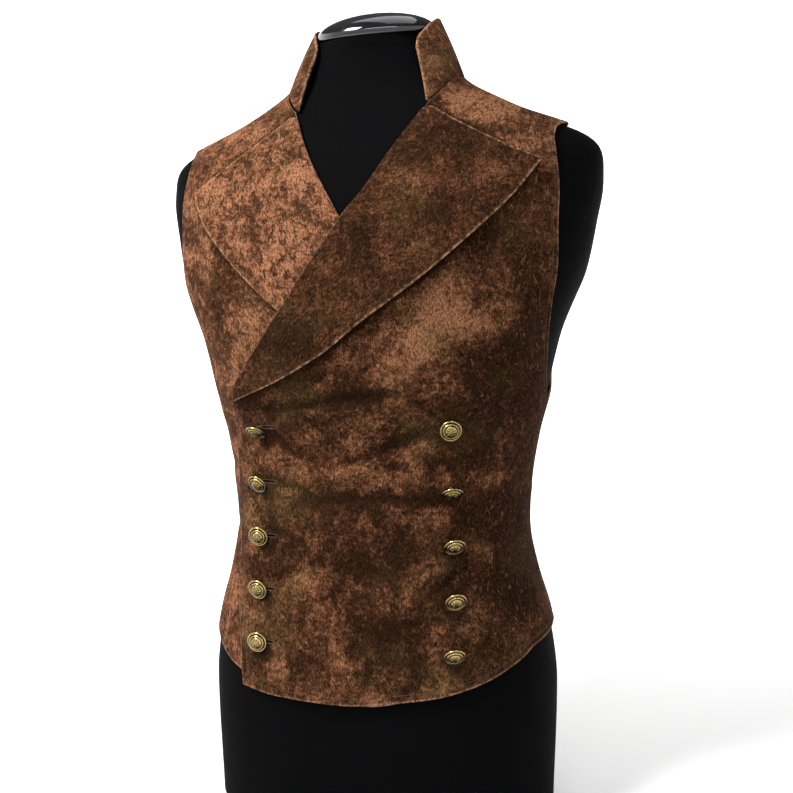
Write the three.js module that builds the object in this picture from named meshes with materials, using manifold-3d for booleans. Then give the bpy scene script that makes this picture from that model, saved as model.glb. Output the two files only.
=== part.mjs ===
// A double-breasted suede vest with wide lapels and a stand collar, worn by a limbless dress form.
// Millimetres, +Z up. The front faces -Y and the wearer's left is +X. The form stands on z = 0.
// The form is a stack of rings. Every cloth piece is a wall laid on that surface, moved out along
// its normal by as many layers as lie under it. A place on the surface is an angle round the body
// (0 at the wearer's left, 90 at the front) and a ring height. The right half uses mirrored angles.
import * as THREE from "three";
import { mergeVertices } from "three/addons/utils/BufferGeometryUtils.js";
import Module from "manifold-3d";

const wasm = await Module();
wasm.setup();

// ---------------------------------------------------------------- driving dimensions
const CLOTH = 2.0; // one thickness of suede
const COLLAR_CLOTH = 2.6; // the collar is stiffened
const FORM_INSET = 0.8; // the form's skin inside the surface that the cloth is laid on
const SEAT_GAP = 1.5; // from that surface to the panels
const LAYER_GAP = 1.5; // panel to panel
const LAPEL_GAP = 1.1; // panel to lapel
const LAPEL_ROOM = 1.7; // more room where the left front covers the right lapel
const COLLAR_SEAM_GAP = 0.6; // rise of the collar's lower edge above the panels' neck edge
const OVERLAP_MARGIN = 8; // the left front stays up this far past the right front's edge
const OVERLAP_FADE = 40; // then comes down over this width
const LAPEL_RISE = 24; // the height below the closing over which it makes room for the right lapel
const SEAM_ANGLE = -3; // side and shoulder seams lie just behind the side of the body
const WAIST_Z = 300;
const CLOSING_Z = 434; // the bottom of the lapels, where the fronts close

const BUTTON_RADIUS = 10.6;
const SHANK_RADIUS = 1.3;
const SHANK_CLEAR = 0.3;
const SHANK_IN_HEAD = 1; // how far a shank runs up into its button
const BUTTONHOLE_LENGTH = 19;
const BUTTONHOLE_WIDTH = 3.4;
const BUTTONHOLE_CUT = 14; // depth of the cut, through the over panel and well clear of it

const NECK_TILT = 0.27; // rise of the neck's top plane towards the back, per millimetre
const NECK_CENTRE_Y = -6;
const CAP_HALF_WIDTH = 65;
const CAP_HALF_DEPTH = 58;
const CAP_DOME = 22;
const CAP_RIM = 3;

const COLOURS = { suede: 0x6b4433, jersey: 0x101012, gloss: 0x08080a, brass: 0x9a8250 };

// How many flat sides stand in for each round.
const FORM_SIDES = 44;
const CAP_SIDES = 32;
const BUTTON_SIDES = 12;
const SHANK_SIDES = 8;
const COLLAR_COLUMNS = 32;
const COLLAR_ROWS = 4;

// ---------------------------------------------------------------- tables
function table(columns, rows) {
  return rows.map((row) => Object.fromEntries(columns.map((name, i) => [name, row[i]])));
}

// The body's rings: half width, depth in front of and behind the middle, and squareness.
const RINGS = table(["at", "half", "front", "back", "power"], [
  [0, 182, 122, 122, 2.3],
  [134, 187, 127, 122, 2.3],
  [170, 184, 124, 116, 2.3],
  [205, 177.5, 119, 108, 2.3],
  [250, 164.5, 111, 95, 2.3],
  [WAIST_Z, 156, 106, 88, 2.3],
  [350, 159.5, 107, 91, 2.3],
  [395, 167, 112, 99, 2.3],
  [430, 177, 120, 106, 2.3],
  [470, 186.5, 129, 112, 2.3],
  [500, 194.5, 133, 116, 2.3],
  [530, 207, 133, 119, 2.3],
  [560, 220, 129, 121, 2.3],
  [610, 231, 117, 120, 2.3],
  [650, 238, 102, 113, 2.3],
  [675, 238, 90, 105, 2.3],
  [690, 231, 81, 98, 2.3],
  [703, 209, 74, 91, 2.3],
  [720, 164, 67, 83, 2.3],
  [740, 126, 62, 76, 2.2],
  [757, 98, 59, 71, 2.1],
  [775, 83, 59, 66, 2.0],
  [792, 73, 60, 59, 2.0],
  [815, 64, 63, 51, 2.0],
]);

// The over panel's hem height by angle from its side seam to its front edge.
const LEFT_HEM = table(["at", "z"], [
  [-3, 196], [17, 186], [23, 177], [37, 159], [52, 147], [65, 142], [92, 135], [120, 136], [150, 145],
]);
// The under panel's, which shows a few millimetres below the over panel's near the centre.
const RIGHT_HEM = table(["at", "z"], [
  [-3, 192], [17, 180], [25, 170], [33, 159], [42, 150], [60, 139], [75, 132], [100, 133], [118, 141], [130, 150],
]);
const BACK_HEM = table(["at", "z"], [[-90, 184], [-50, 187], [-20, 193], [-3, 195]]);

// A front's outer border going up: the side seam, then the armhole, then the shoulder's end.
const FRONT_SIDE = table(["at", "angle", "z"], [
  [0.0, -3, 195], [0.22, -3, 270], [0.42, -3, 365], [0.52, -3, 421], [0.57, 7, 443], [0.65, 13, 484],
  [0.75, 18, 540], [0.83, 19, 590], [0.89, 18, 637], [0.93, 16, 678], [0.955, 12, 696], [0.98, 5, 704],
  [1, -3, 707],
]);
// The left front's inner border going up: the front edge, then the line where the lapel folds over.
const LEFT_EDGE = table(["at", "x", "z"], [
  [0.0, -114, 141], [0.1, -120, 190], [0.22, -127, 245], [0.36, -131, 316], [0.45, -129, 375],
  [0.52, -123, CLOSING_Z], [0.6, -85, 482], [0.68, -47, 530], [0.8, 1, 602], [0.9, 37, 664], [1, 71, 727],
]);
// The right front's, mirrored: its edge is hidden at the far button column, its fold line bows a little.
const RIGHT_EDGE = table(["at", "x", "z"], [
  [0.0, -104, 152], [0.22, -108, 245], [0.36, -110, 316], [0.45, -109, 375], [0.52, -106, CLOSING_Z],
  [0.6, -72, 485], [0.68, -40, 537], [0.8, 6, 605], [0.9, 46, 670], [1, 72, 727],
]);
// The back's outer border going up.
const BACK_SIDE = table(["at", "angle", "z"], [
  [0.0, -3, 195], [0.25, -3, 290], [0.5, -3, 421], [0.57, -12, 455], [0.67, -20, 515], [0.78, -23, 585],
  [0.86, -20, 640], [0.92, -15, 680], [0.96, -9, 700], [1, -3, 707],
]);
// The neck seam and the collar's top edge by angle from the front end of the collar to the centre back.
const NECK_SEAM = table(["at", "z"], [[-90, 778], [-60, 776], [-30, 772], [0, 764], [21, 753], [41, 728]]);
const COLLAR_TOP = table(["at", "z"], [[-90, 840], [-40, 838], [0, 829], [20, 817], [34, 803], [41, 795]]);
const COLLAR_TOP_RING = { half: 68, front: 72, back: 62, centreY: -4 };
const COLLAR_END_ANGLE = 41;
const COLLAR_TOP_TURN = 0.91; // the collar's top edge is shorter than its seam, so its ends stand back

// Each lapel from the closing up to its top edge: the fold line, and the outer edge out to the tip.
const LEFT_LAPEL = table(["at", "foldX", "foldZ", "edgeX", "edgeZ"], [
  [0.0, -122, CLOSING_Z + 2, -117, CLOSING_Z - 1], [0.15, -95, 469, -64, 453], [0.32, -62, 510, -18, 476],
  [0.5, -25, 562, 32, 510], [0.66, 7, 612, 78, 544], [0.8, 34, 659, 118, 580], [0.91, 54, 695, 157, 621],
  [1, 70, 722, 181, 655],
]);
const RIGHT_LAPEL = table(["at", "foldX", "foldZ", "edgeX", "edgeZ"], [
  [0.0, -105, CLOSING_Z + 2, -101, CLOSING_Z - 1], [0.15, -82, 470, -50, 455], [0.32, -52, 518, -4, 478],
  [0.5, -14, 575, 48, 508], [0.66, 16, 622, 92, 543], [0.8, 43, 665, 130, 580], [0.91, 62, 700, 158, 612],
  [1, 71, 722, 174, 644],
]);

// Creases in the cloth: a soft trough from one place to another, with its half width and depth.
const CREASE_COLUMNS = ["x1", "z1", "x2", "z2", "width", "depth"];
const LEFT_CREASES = table(CREASE_COLUMNS, [
  [-72, 424, -14, 432, 7, 3.2],
  [-14, 432, 52, 438, 8, 3.4],
  [18, 448, 60, 494, 9, 2.0],
  [2, 370, 34, 380, 7, 2.6],
  [34, 380, 74, 400, 8, 3.0],
  [-76, 393, -48, 372, 6, 1.8],
  [-42, 329, 24, 335, 9, 2.2],
  [24, 335, 96, 328, 9, 2.8],
  [110, 266, 70, 230, 8, 2.0],
]);
const BACK_CREASES = table(CREASE_COLUMNS, [
  [-96, 318, -14, 330, 9, 2.4],
  [10, 308, 88, 322, 8, 2.2],
  [-60, 284, 34, 278, 8, 1.9],
  [-118, 352, -58, 366, 8, 1.6],
  [44, 372, 110, 350, 9, 1.8],
]);
// Where the cloth is loose, how far it stands off, and over what width and height that fades out.
const LOOSE_FRONT = { out: 2.8, halfWidth: 105, fadeX: 35, low: 190, high: 500, fadeZ: 65 };
const LOOSE_BACK = { out: 1.8, halfWidth: 120, fadeX: 30, low: 190, high: 430, fadeZ: 50 };
// How far each lapel's outer edge stands proud, and the share of its length where that begins and is full.
const LEFT_PROUD = { out: 6.5, from: 0, full: 0.35 };
const RIGHT_PROUD = { out: 2.4, from: 0.62, full: 0.8 };
const LAPEL_TIP_SAG = 4; // a lapel's top edge bows this far towards its fold
const LAPEL_SAG_START = 0.85; // the share of its length from which it does

// Each button from top to bottom: its place, its droop in degrees down and to the wearer's left, and how
// far its head stands out from the cloth to clear it. The sewn column is on the wearer's left.
const BUTTON_COLUMNS = ["x", "z", "down", "leftwards", "out"];
const SEWN_BUTTONS = table(BUTTON_COLUMNS, [
  [97, 405, 4, 0, 1.4], [95, 345, 52, 0, 6], [96, 291, 44, 2, 4.8], [99, 237, 44, 6, 4.8],
  [101, 188, 47, 2, 5.2],
]);
const FASTENED_BUTTONS = table(BUTTON_COLUMNS, [
  [-90, 406, 45, 2, 4.8], [-95, 348, 30, 8, 1.8], [-95, 292, 20, 22, 1.8], [-93, 238, 28, 12, 1.8],
  [-94, 187, 18, 18, 1.4],
]);

// ---------------------------------------------------------------- interpolation
// A curve through a table's rows that never overshoots them.
function along(rows, column, at) {
  const last = rows.length - 1;
  const t = Math.min(Math.max(at, rows[0].at), rows[last].at);
  let i = 0;
  while (i < last - 1 && rows[i + 1].at <= t) i += 1;
  const slope = (k) => (rows[k + 1][column] - rows[k][column]) / (rows[k + 1].at - rows[k].at);
  const tangent = (k) => {
    if (k === 0) return slope(0);
    if (k === last) return slope(last - 1);
    const before = slope(k - 1);
    const after = slope(k);
    return before * after <= 0 ? 0 : (2 * before * after) / (before + after);
  };
  const h = rows[i + 1].at - rows[i].at;
  const s = (t - rows[i].at) / h;
  const start = (2 * s ** 3 - 3 * s ** 2 + 1) * rows[i][column];
  const end = (-2 * s ** 3 + 3 * s ** 2) * rows[i + 1][column];
  return start + end + (s ** 3 - 2 * s ** 2 + s) * h * tangent(i) + (s ** 3 - s ** 2) * h * tangent(i + 1);
}

// 0 at low, 1 at high, with level ends. low may be the larger of the two.
function smoothstep(low, high, value) {
  const t = Math.min(Math.max((value - low) / (high - low), 0), 1);
  return t * t * (3 - 2 * t);
}

function steps(count, from = 0, to = 1) {
  return Array.from({ length: count + 1 }, (_, i) => from + ((to - from) * i) / count);
}

// ---------------------------------------------------------------- the body surface
const NECK_START_Z = 780;
const NECK_TOP_Z = 815;

// The point at an angle and a ring height on the form. Above the neck's start the rings tip forward.
function onBody(angle, ringZ) {
  const radians = THREE.MathUtils.degToRad(angle);
  const half = along(RINGS, "half", ringZ);
  const depth = along(RINGS, Math.sin(radians) >= 0 ? "front" : "back", ringZ);
  const power = along(RINGS, "power", ringZ);
  const across = Math.abs(Math.cos(radians)) / half;
  const away = Math.abs(Math.sin(radians)) / depth;
  const radius = (across ** power + away ** power) ** (-1 / power);
  const y = -radius * Math.sin(radians);
  const tilt = NECK_TILT * smoothstep(NECK_START_Z, NECK_TOP_Z, ringZ);
  return new THREE.Vector3(radius * Math.cos(radians), y, ringZ + tilt * (y - NECK_CENTRE_Y));
}

function bodyNormal(angle, ringZ) {
  const step = 0.5;
  const turn = onBody(angle + step, ringZ).sub(onBody(angle - step, ringZ));
  const rise = onBody(angle, ringZ + step).sub(onBody(angle, ringZ - step));
  return turn.cross(rise).normalize().negate();
}

// The point moved out from the form along its normal. side is 1 on the wearer's left, -1 on the right.
function offBody(angle, ringZ, out, side = 1) {
  const point = onBody(angle, ringZ).addScaledVector(bodyNormal(angle, ringZ), out);
  return point.multiply(new THREE.Vector3(side, 1, 1));
}

// The angle on the front at which the body has the given x.
function frontAngle(x, ringZ) {
  let low = 0.5;
  let high = 179.5;
  for (let i = 0; i < 40; i += 1) {
    const middle = (low + high) / 2;
    if (onBody(middle, ringZ).x > x) low = middle;
    else high = middle;
  }
  return (low + high) / 2;
}

// ---------------------------------------------------------------- walls and solids
function volumeOf(positions, triangles) {
  let sum = 0;
  const [a, b, c] = [new THREE.Vector3(), new THREE.Vector3(), new THREE.Vector3()];
  for (let i = 0; i < triangles.length; i += 3) {
    a.fromArray(positions, 3 * triangles[i]);
    b.fromArray(positions, 3 * triangles[i + 1]);
    c.fromArray(positions, 3 * triangles[i + 2]);
    sum += a.dot(b.cross(c)) / 6;
  }
  return sum;
}

function closedGeometry(positions, triangles) {
  if (volumeOf(positions, triangles) < 0) {
    for (let i = 0; i < triangles.length; i += 3) {
      [triangles[i + 1], triangles[i + 2]] = [triangles[i + 2], triangles[i + 1]];
    }
  }
  const geometry = new THREE.BufferGeometry();
  geometry.setAttribute("position", new THREE.Float32BufferAttribute(positions, 3));
  geometry.setIndex(triangles);
  geometry.computeVertexNormals();
  return geometry;
}

// A wall between an inner and an outer grid of points, closed round its four borders.
// pointAt(u, v, face) gives the point, with face 0 on the inside and 1 on the outside.
function wall(us, vs, pointAt) {
  const positions = [];
  const triangles = [];
  const width = us.length;
  const height = vs.length;
  const index = (face, i, j) => (face * height + j) * width + i;
  const quad = (a, b, c, d) => triangles.push(a, b, c, a, c, d);
  for (const face of [0, 1]) {
    for (const v of vs) for (const u of us) positions.push(...pointAt(u, v, face).toArray());
  }
  for (let j = 0; j < height - 1; j += 1) {
    for (let i = 0; i < width - 1; i += 1) {
      quad(index(1, i, j), index(1, i + 1, j), index(1, i + 1, j + 1), index(1, i, j + 1));
      quad(index(0, i, j), index(0, i, j + 1), index(0, i + 1, j + 1), index(0, i + 1, j));
    }
  }
  for (let i = 0; i < width - 1; i += 1) {
    const top = height - 1;
    quad(index(0, i, 0), index(0, i + 1, 0), index(1, i + 1, 0), index(1, i, 0));
    quad(index(0, i, top), index(1, i, top), index(1, i + 1, top), index(0, i + 1, top));
  }
  for (let j = 0; j < height - 1; j += 1) {
    const end = width - 1;
    quad(index(0, 0, j), index(1, 0, j), index(1, 0, j + 1), index(0, 0, j + 1));
    quad(index(0, end, j), index(0, end, j + 1), index(1, end, j + 1), index(1, end, j));
  }
  return closedGeometry(positions, triangles);
}

function solidOf(geometry) {
  const bare = new THREE.BufferGeometry();
  bare.setAttribute("position", geometry.getAttribute("position").clone());
  bare.setIndex(geometry.index ? geometry.index.clone() : null);
  const merged = mergeVertices(bare, 1e-3);
  return new wasm.Manifold(new wasm.Mesh({
    numProp: 3,
    vertProperties: merged.getAttribute("position").array,
    triVerts: new Uint32Array(merged.index.array),
  }));
}

function geometryOf(solid) {
  const mesh = solid.getMesh();
  const geometry = new THREE.BufferGeometry();
  geometry.setAttribute("position", new THREE.BufferAttribute(mesh.vertProperties, 3));
  geometry.setIndex(new THREE.BufferAttribute(mesh.triVerts, 1));
  geometry.computeVertexNormals();
  return geometry;
}

// ---------------------------------------------------------------- how the cloth lies
// A soft trough along each crease, fading at its ends.
function creaseDepth(rows, x, z) {
  let sum = 0;
  for (const row of rows) {
    const runX = row.x2 - row.x1;
    const runZ = row.z2 - row.z1;
    const t = ((x - row.x1) * runX + (z - row.z1) * runZ) / (runX ** 2 + runZ ** 2);
    const held = Math.min(Math.max(t, 0), 1);
    const away = Math.hypot(x - row.x1 - held * runX, z - row.z1 - held * runZ);
    sum += row.depth * Math.exp(-((away / row.width) ** 2));
  }
  return sum;
}

// How far loose cloth stands off: full over the middle, less in the creases, nothing at the seams.
function looseness(loose, creases, x, z) {
  const across = smoothstep(loose.halfWidth + loose.fadeX, loose.halfWidth, Math.abs(x));
  const above = smoothstep(loose.low, loose.low + loose.fadeZ, z);
  const below = smoothstep(loose.high, loose.high - loose.fadeZ, z);
  return Math.max(loose.out * across * above * below - creaseDepth(creases, x, z), 0);
}

// The x of the right front's hidden border by height, as the left front that covers it sees it.
const COVERED = RIGHT_EDGE.map((row) => ({ at: row.z, x: -row.x }));

// The left front rides up on the right front, and above the closing on the right lapel too.
function leftFrontLift(angle, z) {
  const { x } = onBody(angle, z);
  const edge = along(COVERED, "x", z) + OVERLAP_MARGIN;
  const over = smoothstep(edge + OVERLAP_FADE, edge, x);
  const onLapel = (CLOTH + LAPEL_ROOM) * smoothstep(CLOSING_Z - LAPEL_RISE, CLOSING_Z, z);
  return SEAT_GAP + over * (CLOTH + LAYER_GAP + onLapel) + looseness(LOOSE_FRONT, LEFT_CREASES, x, z);
}

function rightFrontLift() {
  return SEAT_GAP;
}

function backLift(angle, z) {
  return SEAT_GAP + looseness(LOOSE_BACK, BACK_CREASES, onBody(angle, z).x, z);
}

// ---------------------------------------------------------------- panels
// A four-sided patch in angle and height, from its borders: hem, side, inner edge and top.
function patch(hem, side, inner, top) {
  const mix = (a, b, t) => ({ angle: a.angle + (b.angle - a.angle) * t, z: a.z + (b.z - a.z) * t });
  return (u, v) => {
    const acrossRow = mix(side(v), inner(v), u);
    const upColumn = mix(hem(u), top(u), v);
    const corners = mix(mix(side(0), inner(0), u), mix(side(1), inner(1), u), v);
    return {
      angle: acrossRow.angle + upColumn.angle - corners.angle,
      z: acrossRow.z + upColumn.z - corners.z,
    };
  };
}

const SEAM_HALF_TURN = 0.1; // degrees that each piece stands back from a side or shoulder seam
const NECK_SHARE = 0.42; // share of a front's top border that runs along the shoulder seam

function frontPatch(hemRows, edgeRows) {
  const inner = (v) => {
    const z = along(edgeRows, "z", v);
    return { angle: frontAngle(along(edgeRows, "x", v), z), z };
  };
  const side = (v) => ({
    angle: along(FRONT_SIDE, "angle", v) + SEAM_HALF_TURN,
    z: along(FRONT_SIDE, "z", v),
  });
  const [start, end] = [side(0), inner(0)];
  const startError = start.z - along(hemRows, "z", start.angle);
  const endError = end.z - along(hemRows, "z", end.angle);
  const hem = (u) => {
    const angle = start.angle + (end.angle - start.angle) * u;
    return { angle, z: along(hemRows, "z", angle) + startError * (1 - u) + endError * u };
  };
  const [shoulder, neckEnd] = [side(1), inner(1)];
  const neckZ = along(NECK_SEAM, "z", SEAM_ANGLE);
  const neckError = neckEnd.z - along(NECK_SEAM, "z", neckEnd.angle);
  const top = (u) => {
    if (u < NECK_SHARE) {
      return { angle: shoulder.angle, z: shoulder.z + (neckZ - shoulder.z) * (u / NECK_SHARE) };
    }
    const s = (u - NECK_SHARE) / (1 - NECK_SHARE);
    const angle = shoulder.angle + (neckEnd.angle - shoulder.angle) * s;
    return { angle, z: along(NECK_SEAM, "z", angle) + s ** 2 * neckError };
  };
  return patch(hem, side, inner, top);
}

function panelWall(us, vs, place, lift, side = 1) {
  return wall(us, vs, (u, v, face) => {
    const { angle, z } = place(u, v);
    return offBody(angle, z, lift(angle, z) + face * CLOTH, side);
  });
}

// Rows and columns are closest where the cloth is creased, and where it turns over the shoulder.
function spans(...parts) {
  return parts.flatMap(([count, from, to], i) => steps(count, from, to).slice(i ? 1 : 0));
}

const LEFT_COLUMNS = spans([5, 0, 0.28], [19, 0.28, 1]);
const LEFT_ROWS = spans([3, 0, 0.14], [17, 0.14, 0.56], [6, 0.56, 0.83], [3, 0.83, 0.92], [8, 0.92, 1]);
const RIGHT_COLUMNS = spans([16, 0, 1]);
const RIGHT_ROWS = spans([7, 0, 0.52], [8, 0.52, 0.83], [3, 0.83, 0.92], [8, 0.92, 1]);

function buildLeftFront() {
  return panelWall(LEFT_COLUMNS, LEFT_ROWS, frontPatch(LEFT_HEM, LEFT_EDGE), leftFrontLift);
}

function withButtonholes(cloth) {
  let solid = solidOf(cloth.geometry);
  for (const button of FASTENED_BUTTONS) solid = solid.subtract(buttonhole(cloth, button));
  return geometryOf(solid);
}

function buildRightFront() {
  return panelWall(RIGHT_COLUMNS, RIGHT_ROWS, frontPatch(RIGHT_HEM, RIGHT_EDGE), rightFrontLift, -1);
}

const BACK_SHOULDER_SHARE = 0.17; // share of the back's top border along each shoulder seam

function buildBack() {
  const edge = (v) => ({
    angle: along(BACK_SIDE, "angle", v) - SEAM_HALF_TURN,
    z: along(BACK_SIDE, "z", v),
  });
  const mirrored = (place) => ({ angle: -180 - place.angle, z: place.z });
  const half = (angle) => (angle < -90 ? -180 - angle : angle);
  const hem = (u) => {
    const angle = edge(0).angle + (mirrored(edge(0)).angle - edge(0).angle) * u;
    return { angle, z: along(BACK_HEM, "z", half(angle)) };
  };
  const neckZ = along(NECK_SEAM, "z", SEAM_ANGLE);
  const top = (u) => {
    const near = Math.min(u, 1 - u);
    const climb = near / BACK_SHOULDER_SHARE;
    const shoulder = { angle: edge(1).angle, z: edge(1).z + (neckZ - edge(1).z) * climb };
    const s = (near - BACK_SHOULDER_SHARE) / (0.5 - BACK_SHOULDER_SHARE);
    const angle = edge(1).angle + (-90 - edge(1).angle) * s;
    const place = near < BACK_SHOULDER_SHARE ? shoulder : { angle, z: along(NECK_SEAM, "z", angle) };
    return u <= 0.5 ? place : mirrored(place);
  };
  const place = patch(hem, edge, (v) => mirrored(edge(v)), top);
  const far = 1 - BACK_SHOULDER_SHARE;
  const columns = spans([5, 0, BACK_SHOULDER_SHARE], [14, BACK_SHOULDER_SHARE, far], [5, far, 1]);
  const rows = spans([9, 0, 0.5], [7, 0.5, 0.84], [11, 0.84, 1]);
  return panelWall(columns, rows, place, backLift);
}

// ---------------------------------------------------------------- lapels and collar
const LAPEL_COLUMNS = steps(9);
const LAPEL_ROWS = steps(22);

// A lapel lies on its own front from the fold line, and its outer edge stands a little proud.
function lapelWall(rows, lift, proud, side) {
  return wall(LAPEL_COLUMNS, LAPEL_ROWS, (u, v, face) => {
    const foldX = along(rows, "foldX", v);
    const foldZ = along(rows, "foldZ", v);
    const sag = LAPEL_TIP_SAG * Math.sin(Math.PI * u) * smoothstep(LAPEL_SAG_START, 1, v);
    const x = foldX + (along(rows, "edgeX", v) - foldX) * u;
    const z = foldZ + (along(rows, "edgeZ", v) - foldZ) * u - sag;
    const angle = frontAngle(x, z);
    const free = proud.out * u ** 2 * smoothstep(proud.from, proud.full, v);
    return offBody(angle, z, lift(angle, z) + CLOTH + LAPEL_GAP + free + face * CLOTH, side);
  });
}

// The collar rises from the neck seam and leans in to its top edge.
function buildCollar() {
  return wall(steps(COLLAR_COLUMNS, 1, -1), steps(COLLAR_ROWS), (u, v, face) => {
    const side = u < 0 ? -1 : 1;
    const angle = -90 + Math.abs(u) * (COLLAR_END_ANGLE + 90);
    const out = SEAT_GAP + face * COLLAR_CLOTH;
    const seam = offBody(angle, along(NECK_SEAM, "z", angle) + COLLAR_SEAM_GAP, out, side);
    const turned = THREE.MathUtils.degToRad(angle > 0 ? angle * COLLAR_TOP_TURN : angle);
    const depth = turned > 0 ? COLLAR_TOP_RING.front : COLLAR_TOP_RING.back;
    const inset = (face - 1) * COLLAR_CLOTH;
    const top = new THREE.Vector3(
      side * (COLLAR_TOP_RING.half + inset) * Math.cos(turned),
      COLLAR_TOP_RING.centreY - (depth + inset) * Math.sin(turned),
      along(COLLAR_TOP, "z", angle),
    );
    return seam.lerp(top, v);
  });
}

// ---------------------------------------------------------------- the dress form
// The heights of its rings, closest where it curves most.
const FORM_HEIGHTS = spans([3, 0, 134], [5, 134, 250], [6, 250, 395], [6, 395, 560], [4, 560, 652],
  [2, 652, 681], [6, 681, 740], [6, 740, NECK_TOP_Z]);

function buildForm() {
  const round = steps(FORM_SIDES).slice(0, -1);
  const positions = [];
  const triangles = [];
  for (const z of FORM_HEIGHTS) {
    const inset = FORM_INSET * smoothstep(0, FORM_HEIGHTS[1], z);
    for (const turn of round) positions.push(...offBody(360 * turn, z, -inset).toArray());
  }
  const at = (ring, i) => ring * round.length + (i % round.length);
  for (let ring = 0; ring < FORM_HEIGHTS.length - 1; ring += 1) {
    for (let i = 0; i < round.length; i += 1) {
      triangles.push(at(ring, i), at(ring, i + 1), at(ring + 1, i + 1));
      triangles.push(at(ring, i), at(ring + 1, i + 1), at(ring + 1, i));
    }
  }
  const last = FORM_HEIGHTS.length - 1;
  positions.push(0, 0, 0);
  positions.push(0, NECK_CENTRE_Y, NECK_TOP_Z);
  const foot = positions.length / 3 - 2;
  for (let i = 0; i < round.length; i += 1) {
    triangles.push(foot, at(0, i + 1), at(0, i));
    triangles.push(foot + 1, at(last, i), at(last, i + 1));
  }
  return closedGeometry(positions, triangles);
}

// A low glossy dome with a rounded rim. Its profile has a radius of 1 and is widened to an ellipse.
function buildCap() {
  const profile = [[0, 0], [0.975, 0], [1, 0.8], [1, CAP_RIM]];
  for (const t of steps(6).slice(1, -1)) {
    profile.push([Math.cos((t * Math.PI) / 2), CAP_RIM + CAP_DOME * Math.sin((t * Math.PI) / 2)]);
  }
  profile.push([0, CAP_RIM + CAP_DOME]);
  const geometry = new THREE.LatheGeometry(profile.map(([r, h]) => new THREE.Vector2(r, h)), CAP_SIDES);
  geometry.rotateX(Math.PI / 2);
  geometry.scale(CAP_HALF_WIDTH, CAP_HALF_DEPTH, 1);
  return geometry;
}

// ---------------------------------------------------------------- buttons
const OUTSIDE = 60; // well outside every layer

// Where a straight line into the body first meets a piece of cloth.
function meetingWith(piece, angle, z) {
  const normal = bodyNormal(angle, z);
  const ray = new THREE.Raycaster(offBody(angle, z, OUTSIDE), normal.clone().negate());
  return ray.intersectObject(piece)[0].point;
}

// The place and outward direction where a button leaves the cloth's outer face.
function buttonSeat(cloth, { x, z }) {
  const angle = frontAngle(x, z);
  return { point: meetingWith(cloth, angle, z), normal: bodyNormal(angle, z), angle, z };
}

// A slit from the shank towards the centre front, cut square through the over panel.
function buttonhole(cloth, button) {
  const { point, normal } = buttonSeat(cloth, button);
  const slot = new THREE.BoxGeometry(BUTTONHOLE_LENGTH, BUTTONHOLE_WIDTH, BUTTONHOLE_CUT);
  slot.translate(BUTTONHOLE_LENGTH / 2 - BUTTONHOLE_WIDTH / 2, 0, 0);
  slot.applyQuaternion(facing(normal));
  slot.translate(point.x, point.y, point.z);
  return solidOf(slot);
}

// The turn that takes +Z to a direction and keeps +X level and +Y as near upright as it can be.
function facing(direction) {
  const across = new THREE.Vector3(0, 0, 1).cross(direction).normalize();
  const up = direction.clone().cross(across);
  return new THREE.Quaternion().setFromRotationMatrix(new THREE.Matrix4().makeBasis(across, up, direction));
}

// A stepped dome on a back plate and a short shank, standing on the origin along +Z.
function buttonHead() {
  const outline = [[0, 0], [1.9, 0], [1.9, 3.4], [8.8, 3.9], [BUTTON_RADIUS, 5.0], [BUTTON_RADIUS, 5.8],
    [9.3, 6.7], [8.4, 6.3], [6.6, 7.6], [3.4, 8.7], [0, 9]];
  const head = new THREE.LatheGeometry(outline.map(([r, h]) => new THREE.Vector2(r, h)), BUTTON_SIDES);
  return head.rotateX(Math.PI / 2);
}

// A sewn button's shank stands on the left front. A fastened one's goes through it, down to the right front.
function buildButton(name, button, leftFront, through) {
  const seat = buttonSeat(leftFront, button);
  const length = button.out + through - SHANK_CLEAR + SHANK_IN_HEAD;
  const stem = new THREE.CylinderGeometry(SHANK_RADIUS, SHANK_RADIUS, length, SHANK_SIDES);
  stem.rotateX(Math.PI / 2);
  stem.translate(0, 0, length / 2 - through + SHANK_CLEAR);
  const head = buttonHead();
  head.rotateX(THREE.MathUtils.degToRad(button.down));
  head.rotateY(THREE.MathUtils.degToRad(button.leftwards));
  head.translate(0, 0, button.out);
  const mesh = named(name, geometryOf(solidOf(head).add(solidOf(stem))), materials.brass);
  mesh.position.copy(seat.point);
  mesh.quaternion.copy(facing(seat.normal));
  return mesh;
}

// ---------------------------------------------------------------- assembly
const materials = {
  suede: new THREE.MeshStandardMaterial({ color: COLOURS.suede, roughness: 0.95 }),
  jersey: new THREE.MeshStandardMaterial({ color: COLOURS.jersey, roughness: 0.9 }),
  gloss: new THREE.MeshStandardMaterial({ color: COLOURS.gloss, roughness: 0.12 }),
  brass: new THREE.MeshStandardMaterial({ color: COLOURS.brass, roughness: 0.4, metalness: 1 }),
};

function named(name, geometry, material) {
  const mesh = new THREE.Mesh(geometry, material);
  mesh.name = name;
  return mesh;
}

function dressForm() {
  const group = new THREE.Group();
  const cap = named("neck_cap", buildCap(), materials.gloss);
  cap.position.set(0, NECK_CENTRE_Y, NECK_TOP_Z + SHANK_CLEAR);
  cap.rotation.x = Math.atan(NECK_TILT);
  group.add(named("form_body", buildForm(), materials.jersey), cap);
  return group;
}

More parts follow.
